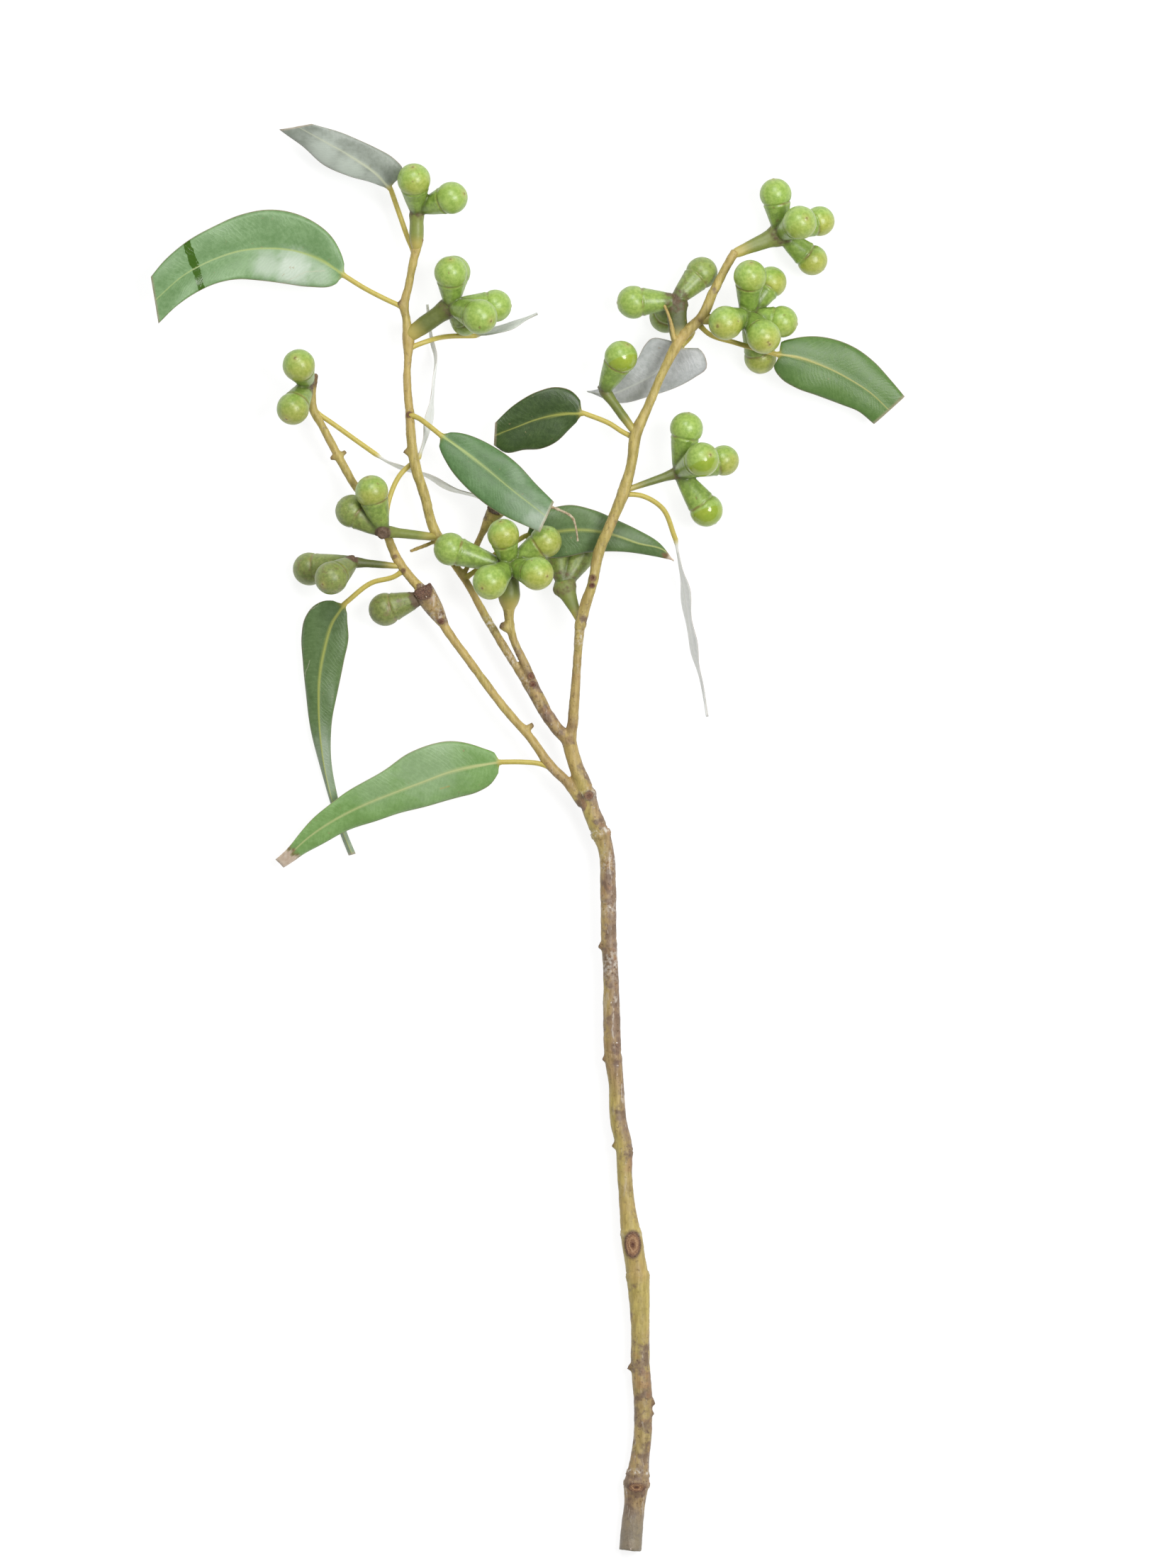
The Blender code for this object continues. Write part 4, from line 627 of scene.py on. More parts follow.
# The buds
pods = dict(
    baseRadius=1.7, rimSetback=2.7, rimShare=0.86, flare=0.72, cupSteps=0.45, sides=36, steps=34,
    grooveDepth=0.17, grooveWidth=0.36, waver=0.18, lip=0.11, lipBehind=0.75, lipWidth=0.4,
    heel=2.3, gap=1.0, voxel=0.3, smoothing=2, merge=1e-6, stalkSides=20, stalkSpacing=0.7, stubSpacing=0.5,
    flushSide=(0.32, -0.9, 0.3), skinDepth=0.0001,
    # a stalk's thickness: how far along it is and its shares of the radii at the root and at the head
    stages=((0.0, 0.7, 0.0), (0.25, 1.0, 0.0), (0.7, 0.5, 0.5), (1.0, 0.0, 1.0), (1.12, 0.0, 0.6)),
    # each cluster: where its stalk leaves the wood, its head, both radii, how flat and how light it is, and
    # its buds as cap centre, cap radius, how yellow, dull and wet they are and, where it isn't at the head,
    # the cup's base; heel is how far the brown at the head reaches
    clusters=(
        dict(root=(-66.9, 408.0, 12.9), head=(-66.8, 419.3, 14.0), radii=(2.2, 2.2), flat=1.0, light=0.85,
             buds=((-67.6, 429.1, 22.5, 5.2, 0.6, 0.0, 0.0),
                   (-55.9, 423.5, 20.5, 5.1, 0.25, 0.0, 0.0, -65.6, 420.4, 14.2))),
        dict(root=(-69.5, 380.4, 11.4), head=(-56.0, 389.9, 13.5), radii=(2.6, 3.1), flat=0.8, light=0.5,
             buds=((-56.1, 400.1, 21.0, 5.2, 0.25, 0.0, 0.0), (-55.2, 400.6, 5.1, 5.2, 0.2, 0.2, 0.0),
                   (-47.0, 386.3, 23.5, 5.5, 0.3, 0.0, 0.0), (-42.2, 389.9, 13.0, 5.1, 0.35, 0.0, 0.0),
                   (-51.6, 385.2, 5.4, 4.6, 0.2, 0.3, 0.0))),
        dict(root=(-99.2, 364.6, 11.6), head=(-100.9, 365.4, 12.0), radii=(0.9, 1.4), flat=1.0, light=0.15,
             heel=5.2,
             buds=((-103.6, 371.1, 23.5, 5.1, 0.75, 0.1, 0.0), (-105.5, 357.6, 19.5, 5.1, 0.8, 0.25, 0.0))),
        dict(root=(-60.1, 317.4, 9.2), head=(-77.3, 319.3, 17.0), radii=(1.35, 1.8), flat=1.0, light=0.75,
             stub=((-77.3, 319.2, 16.0), (-77.5, 318.3, 20.0), 1.9),
             buds=((-80.8, 331.6, 22.5, 5.2, 0.8, 0.2, 0.0), (-87.1, 325.6, 15.0, 5.2, 0.3, 0.75, 0.0))),
        dict(root=(-72.2, 308.4, 10.9), head=(-86.9, 309.7, 12.0), radii=(1.05, 1.6), flat=1.0, light=0.3,
             stub=((-86.9, 309.8, 12.0), (-87.4, 310.9, 14.6), 1.4),
             buds=((-100.5, 307.6, 5.1, 5.2, 0.3, 0.85, 0.0), (-93.5, 304.6, 22.0, 5.2, 0.4, 0.85, 0.0))),
        dict(root=(-61.5, 299.4, 12.3), head=(-65.6, 298.4, 12.0), radii=(1.4, 1.9), flat=1.0, light=0.15,
             heel=4.6,
             buds=((-76.7, 294.9, 9.5, 5.2, 0.3, 0.95, 0.0),)),
        dict(root=(-38.0, 295.0, 13.9), head=(-37.7, 308.3, 16.0), radii=(3.5, 3.0), flat=0.95, light=0.7,
             heel=4.8, stages=((0.0, 0.55, 0.0), (0.12, 0.8, 0.0), (0.3, 1.0, 0.0), (0.5, 0.94, 0.0),
             (0.75, 0.3, 0.6), (1.0, 0.0, 1.0), (1.12, 0.0, 0.6)),
             buds=((-56.3, 313.7, 17.0, 5.2, 0.3, 0.15, 0.0, -40.6, 308.7, 16.1),
                   (-39.7, 318.2, 22.5, 5.0, 0.9, 0.0, 0.0), (-26.5, 316.1, 17.6, 5.1, 0.9, 0.15, 0.0),
                   (-43.8, 303.3, 27.5, 5.5, 0.55, 0.0, 0.0), (-29.2, 306.0, 26.5, 5.3, 0.8, 0.0, 0.0))),
        dict(root=(-15.4, 290.6, 17.0), head=(-20.9, 302.7, 10.2), radii=(1.5, 3.7), flat=0.6, light=0.7,
             heel=1.4,
             buds=((-23.8, 316.4, 5.1, 5.2, 0.2, 0.7, 0.0), (-12.8, 315.3, 5.1, 5.2, 0.2, 0.7, 0.0))),
        dict(root=(-1.9, 332.0, 19.0), head=(15.3, 337.8, 15.5), radii=(1.0, 1.7), flat=1.0, light=0.6,
             heel=3.2,
             buds=((17.6, 351.4, 18.0, 5.2, 0.2, 0.0, 0.0), (22.4, 341.6, 27.5, 5.4, 0.4, 0.0, 0.36),
                   (29.3, 341.5, 11.0, 4.8, 0.85, 0.15, 0.0), (23.8, 325.9, 14.0, 5.2, 0.3, 0.0, 0.45))),
        dict(root=(1.6, 350.0, 19.2), head=(-8.2, 363.5, 17.2), radii=(1.35, 1.7), flat=1.0, light=0.65,
             buds=((-2.9, 373.6, 23.5, 5.2, 0.3, 0.0, 0.4),)),
        dict(root=(15.4, 377.8, 17.1), head=(14.2, 391.5, 14.3), radii=(2.8, 3.6), flat=0.5, light=0.22,
             heel=3.2,
             buds=((1.0, 391.0, 15.0, 5.2, 0.3, 0.1, 0.0),
                   (11.2, 386.7, 5.1, 5.2, 0.2, 0.6, 0.0, 13.2, 390.8, 13.4),
                   (22.4, 400.3, 9.8, 5.0, 0.3, 0.55, 0.0))),
        dict(root=(21.5, 385.3, 16.0), head=(36.6, 386.8, 13.0), radii=(1.7, 2.8), flat=0.9, light=0.6,
             heel=4.6,
             buds=((37.5, 398.9, 21.0, 5.2, 0.5, 0.0, 0.0), (44.1, 397.4, 9.6, 4.9, 0.9, 0.0, 0.0),
                   (29.8, 384.3, 26.0, 5.4, 0.8, 0.0, 0.0), (41.7, 380.0, 25.0, 5.4, 0.8, 0.0, 0.0),
                   (47.5, 384.9, 14.0, 5.0, 0.5, 0.0, 0.0), (40.8, 373.8, 5.0, 5.1, 0.9, 0.25, 0.0))),
        dict(root=(32.6, 406.2, 14.1), head=(47.3, 412.4, 11.5), radii=(1.9, 3.5), flat=0.7, light=0.75,
             heel=3.2,
             buds=((45.5, 424.8, 14.0, 5.0, 0.2, 0.0, 0.0), (53.0, 415.7, 24.0, 5.3, 0.5, 0.0, 0.0),
                   (59.4, 416.6, 4.6, 4.7, 0.9, 0.0, 0.0), (57.0, 404.3, 9.0, 4.8, 0.9, 0.0, 0.0)))),
    tones=dict(
        green=((0.29, 0.455, 0.075), (0.435, 0.605, 0.135)),
        yellow=((0.415, 0.455, 0.06), (0.565, 0.575, 0.125)),
        dull=((0.17, 0.21, 0.05), (0.28, 0.32, 0.085)), cup=(0.16, 0.27, 0.04), rust=(0.2, 0.12, 0.06),
        # root is the colour of the darker cup bases and of the painted shade in the gaps between cups
        gland=(0.6, 0.7, 0.26), apex=(0.56, 0.5, 0.15), root=(0.085, 0.115, 0.028), foot=(0.52, 0.43, 0.11),
        stalk=((0.0, (0.04, 0.05, 0.006)), (0.5, (0.14, 0.17, 0.03)), (1.0, (0.31, 0.36, 0.08))),
        # shade is the colour of the painted shade on the buds' undersides
        rim=(0.27, 0.19, 0.06), shade=(0.1, 0.15, 0.025), scar=((0.05, 0.028, 0.015), (0.22, 0.13, 0.07)),
        dot=(0.17, 0.07, 0.02), mark=(0.25, 0.16, 0.05), wet=((0.2, 0.34, 0.01), (0.44, 0.5, 0.03))))


def budTree():
    # a bud stands on its cup's base and points up: a flared cup, a rim and a round cap
    lengths = ("Reach", "Cap radius", "Base radius", "Rim setback", "Rim share", "Flare")
    tree, maker, given = newTree("budShape", {
        "Mesh": "Geometry", **dict.fromkeys(lengths, "Float"), "Sides": "Int", "Steps": "Int",
        "Skin": "Material"}, "Bud")
    reach, radius, base, setback, rimShare, flare = [given[name] for name in lengths]
    cupSteps = pods["cupSteps"]
    grid = maker.node("GeometryNodeMeshGrid", None, {
        "Size X": 1.0, "Size Y": 1.0, "Vertices X": given["Steps"], "Vertices Y": given["Sides"]})
    spot = maker.node("ShaderNodeSeparateXYZ", None, {0: maker.node("GeometryNodeInputPosition")})
    share = spot + 0.5
    turn = (spot.other("Y") + 0.5) * (2 * math.pi)
    onCap = maker.math("GREATER_THAN", share, cupSteps)
    cup = maker.math("MINIMUM", share / cupSteps, 1.0)
    cap = maker.math("MAXIMUM", (share - cupSteps) / (1 - cupSteps), 0.0)
    cupHigh = cup * (reach - setback)
    cupWide = base + (radius * rimShare - base) * cup ** flare
    low = maker.math("ARCSINE", setback / radius)
    angle = cap * (low + math.pi / 2) - low
    capHigh = reach + radius * maker.math("SINE", angle)
    capWide = radius * maker.math("COSINE", angle)
    high = cupHigh + onCap * (capHigh - cupHigh)
    wide = (cupWide + onCap * (capWide - cupWide)) * maker.math("GREATER_THAN", share, 0.001)
    place = maker.node("ShaderNodeCombineXYZ", None, {
        "X": wide * maker.math("COSINE", turn), "Y": wide * maker.math("SINE", turn), "Z": high})
    moved = maker.node("GeometryNodeSetPosition", None, {"Geometry": grid, "Position": place})
    closed = maker.node("GeometryNodeMergeByDistance", None, {"Geometry": moved, "Distance": 0.00001})
    finishTree(maker, closed, given["Skin"], "Bud")
    return tree


def makeSkin():
    skin, maker = newMaterial("bud_skin")
    tones = pods["tones"]
    where = maker.place()
    cap, rim, apex, dot, root, stalk, light, foot, scar, tint, dull, wet, low = maker.masks(
        "cap rim apex dot root stalk light foot scar tint dull wet low")
    soft = maker.clouds(where, 210.0)
    mottle = maker.clouds(where, 900.0, 3.0, 0.6)
    fine = maker.clouds(where, 3000.0)
    blotches = maker.clouds(where, 520.0, 3.0, 0.6)
    cells = maker.node("ShaderNodeTexVoronoi", None, {"Vector": where, "Scale": 1500.0})
    glands = maker.step(0.22, 0.1, cells)
    marks = maker.step(0.7, 0.75, maker.clouds(where, 430.0))
    fresh = maker.contrast(mottle)
    green, yellow, matt = [maker.blend(fresh, *tones[name]) for name in ("green", "yellow", "dull")]
    ramp = maker.node("ShaderNodeValToRGB", dict(stops=tones["stalk"]), {0: light + 0.3 * (mottle - 0.5)})
    tone = maker.coats(green, (
        (maker.step(0.35, 0.85, tint * 0.75 + soft * 0.42) * 0.85, yellow),
        ((1.0 - cap) * (0.15 + 0.45 * maker.step(0.4, 0.62, blotches)), tones["cup"]),
        (dull, matt),
        (maker.step(0.54, 0.66, blotches) * dull * 0.5, tones["rust"]),
        (glands * 0.22, tones["gland"]),
        (apex * 0.5, tones["apex"]),
        # darker cup bases, together with painted shade in the gaps where cups meet
        (root * 0.75, tones["root"]),
        (stalk, maker.blend(foot, ramp, tones["foot"])),
        (rim * (0.1 + 0.75 * maker.step(0.42, 0.62, soft)), tones["rim"]),
        # painted shade: the skin darkens where its surface turns away from up
        (low * 0.3, tones["shade"]),
        (scar, maker.blend(fine, *tones["scar"])),
        (dot * 0.85, tones["dot"]),
        (marks * 0.6, tones["mark"]),
        (wet * 0.7, maker.blend(soft, *tones["wet"]))))
    height = (0.35 * mottle + 0.15 * fine + 0.25 * glands + scar * fine) * (1.0 - 0.8 * wet)
    rough = 0.28 + 0.14 * mottle + 0.25 * scar + 0.12 * stalk + 0.08 * dull - 0.2 * wet
    finishMaterial(maker, {"Base Color": tone, "Roughness": rough, "Specular IOR Level": 0.75}, height,
                   pods["skinDepth"])
    return skin


def budsOf(cluster):
    # each bud's cap centre, cap radius, cup base and shades
    return [(np.array(bud[:3]), bud[3], np.array(bud[7:] or cluster["head"]), bud[4:7])
            for bud in cluster["buds"]]


def stalkValues(cluster):
    root, head = np.array(cluster["root"]), np.array(cluster["head"])
    first, last = cluster["radii"]
    start = root - 0.8 * unit(head - root)
    route = [(*start, 0.5 * first)]
    route += [(*(root + share * (head - root)), atRoot * first + atHead * last)
              for share, atRoot, atHead in cluster.get("stages", pods["stages"])]
    return curveValues(route, spacing=pods["stalkSpacing"])


def budParts(number, cluster, tree, skin):
    # the bare shapes of one cluster's buds and stalk
    parts = []
    for order, (cap, radius, base, _) in enumerate(budsOf(cluster), start=1):
        name = f"bud_{number}_{order}"
        bud = grown(linked(name, bpy.data.meshes.new(name)), tree, {
            "Reach": float(np.linalg.norm(cap - base) * mm), "Cap radius": radius * mm,
            "Base radius": pods["baseRadius"] * mm, "Rim setback": pods["rimSetback"] * mm,
            "Rim share": pods["rimShare"], "Flare": pods["flare"],
            "Sides": pods["sides"] + 1, "Steps": pods["steps"], "Skin": skin})
        turn = Vector(cap - base).to_track_quat("Z", "Y").to_matrix().to_4x4()
        bud.data.transform(Matrix.Translation(Vector((base + cutEnd) * mm)) @ turn)
        parts.append(bud)
    tubes = [(stalkValues(cluster), cluster["flat"])]
    if "stub" in cluster:
        base, tip, radius = cluster["stub"]
        tubes.append((curveValues(((*base, radius), (*tip, 0.9 * radius)), spacing=pods["stubSpacing"]), 1.0))
    for values, flat in tubes:
        rings = tubeRings(values, pods["stalkSides"], flat)
        faces = ringFaces(len(rings), pods["stalkSides"])
        parts.append(newPiece(f"stalk_{number}", rings.reshape(-1, 3), faces, skin))
    return parts


def joined(parts, name):
    # one object of several, at the origin
    made = bmesh.new()
    for part in parts:
        made.from_mesh(part.data)
        bpy.data.objects.remove(part, do_unlink=True)
    mesh = bpy.data.meshes.new(name)
    made.to_mesh(mesh)
    made.free()
    outward(mesh, pods["merge"])
    return linked(name, mesh)


def paintBuds(piece, number, cluster, skin):
    # cuts the groove under each cap and paints caps, rims, tips, darker cup bases with painted shade between
    # cups, and scars
    mesh = piece.data
    points, normals = placesOf(mesh), normalsOf(mesh)
    best, second = np.full((2, len(points)), 1e9)
    painted = ("cap", "rim", "apex", "dot", "root", "tint", "dull", "wet")
    facts = {name: np.zeros(len(points)) for name in painted}
    lift = np.zeros(len(points))
    stalk = stalkValues(cluster)
    stalkFar = (np.linalg.norm(points[:, None] - stalk[None, :, :3], axis=2) - stalk[None, :, 3]).min(axis=1)
    for order, (cap, radius, base, (flush, dull, wet)) in enumerate(budsOf(cluster), start=1):
        axis = unit(cap - base)
        reach = np.linalg.norm(cap - base)
        along = (points - base) @ axis
        wide = np.linalg.norm(points - base - along[:, None] * axis, axis=1)
        edge = reach - pods["rimSetback"]
        cupWide = pods["baseRadius"] + (pods["rimShare"] * radius - pods["baseRadius"]) * np.clip(
            along / edge, 0, 1) ** pods["flare"]
        off = np.where(along > edge, np.linalg.norm(points - cap, axis=1) - radius, wide - cupWide)
        off = np.where(along < 0, np.hypot(along, np.maximum(wide - pods["baseRadius"], 0)), off)
        off = np.abs(off)
        mine = off < best
        second = np.where(mine, best, np.minimum(second, off))
        best = np.where(mine, off, best)
        waver = pods["waver"] * wobble(points, 2.2, 3.7 * number + 1.3 * order, 1)
        line = bell(along - edge + waver, pods["grooveWidth"])
        tipFar = np.linalg.norm(points - cap - radius * axis, axis=1)
        toward = (points - cap) @ unit(np.array(pods["flushSide"])) / radius
        onCap = ease((along - edge) / 0.5)
        values = dict(cap=onCap, rim=line, apex=bell(tipFar, 1.5), dot=bell(tipFar, 0.4), dull=dull,
                      root=1 - ease(along / (0.5 * edge)), wet=onCap * ease((toward + 2 * wet - 1) / 0.15),
                      tint=flush * ease(0.5 + 0.6 * toward) * (0.4 + 0.6 * onCap))
        for name, value in values.items():
            facts[name] = np.where(mine, value, facts[name])
        notch = -pods["grooveDepth"] * line
        notch += pods["lip"] * bell(along - edge + pods["lipBehind"] + waver, pods["lipWidth"])
        notch += 0.12 * bell(tipFar, 0.5) - 0.1 * bell(tipFar - 0.9, 0.4)
        lift = np.where(mine, notch, lift)
    # painted shade in the creases where two buds' cups run into each other
    facts["root"] = np.maximum(facts["root"], bell(second, pods["gap"]))
    onStalk = ease((best - stalkFar + 0.2) / 0.8) * (stalkFar < best + 0.6)
    facts["stalk"] = np.where(best > 0.25, onStalk, 0.0)
    for name in ("cap", "rim", "apex", "dot", "wet"):
        facts[name] *= 1 - facts["stalk"]
    lift *= 1 - facts["stalk"]
    head, start = np.array(cluster["head"]), np.array(cluster["root"])
    line = head - start
    facts["foot"] = facts["stalk"] * ease(1.1 - 2.4 * ((points - start) @ line) / (line @ line))
    headFar = np.linalg.norm(points - head, axis=1)
    rough = wobble(points, 1.1, 9.0 + number)
    scar = np.clip(bell(headFar - cluster["radii"][1], 1.0) * (0.75 + 0.9 * rough) - 0.15, 0, 1) * 0.85
    scar = np.maximum(scar, 0.9 * ease((cluster.get("heel", pods["heel"]) + 0.9 * rough - headFar) / 1.2))
    if "stub" in cluster:
        base, tip, radius = [np.array(value) for value in cluster["stub"]]
        share = np.clip(((points - base) @ (tip - base)) / ((tip - base) @ (tip - base)), 0.25, 1.0)
        stubFar = np.linalg.norm(points - base - share[:, None] * (tip - base), axis=1)
        scar = np.maximum(scar, ease((radius + 0.9 - stubFar) / 0.6))
    facts["scar"] = scar
    facts["light"] = np.full(len(points), cluster["light"])
    # low is a painted shade, growing as the surface turns to face down
    facts["low"] = ease((0.8 - normals[:, 2]) / 1.3)
    lift += 0.05 * wobble(points, 2.6, 2.0 * number) + 0.25 * scar * rough
    moveTo(mesh, points + lift[:, None] * normals)
    finishPiece(piece, skin, facts)


skin = makeSkin()
budShape = budTree()
for number, cluster in enumerate(pods["clusters"], start=1):
    whole = joined(budParts(number, cluster, budShape, skin), f"pods_{number:02d}")
    piece = fused(whole, f"seed_pods_{number:02d}", pods["voxel"], pods["smoothing"])
    paintBuds(piece, number, cluster, skin)
    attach(piece, body)
    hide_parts(f"bud_cluster_{number:02d}")
    print("buds", number, len(piece.data.polygons), "faces")


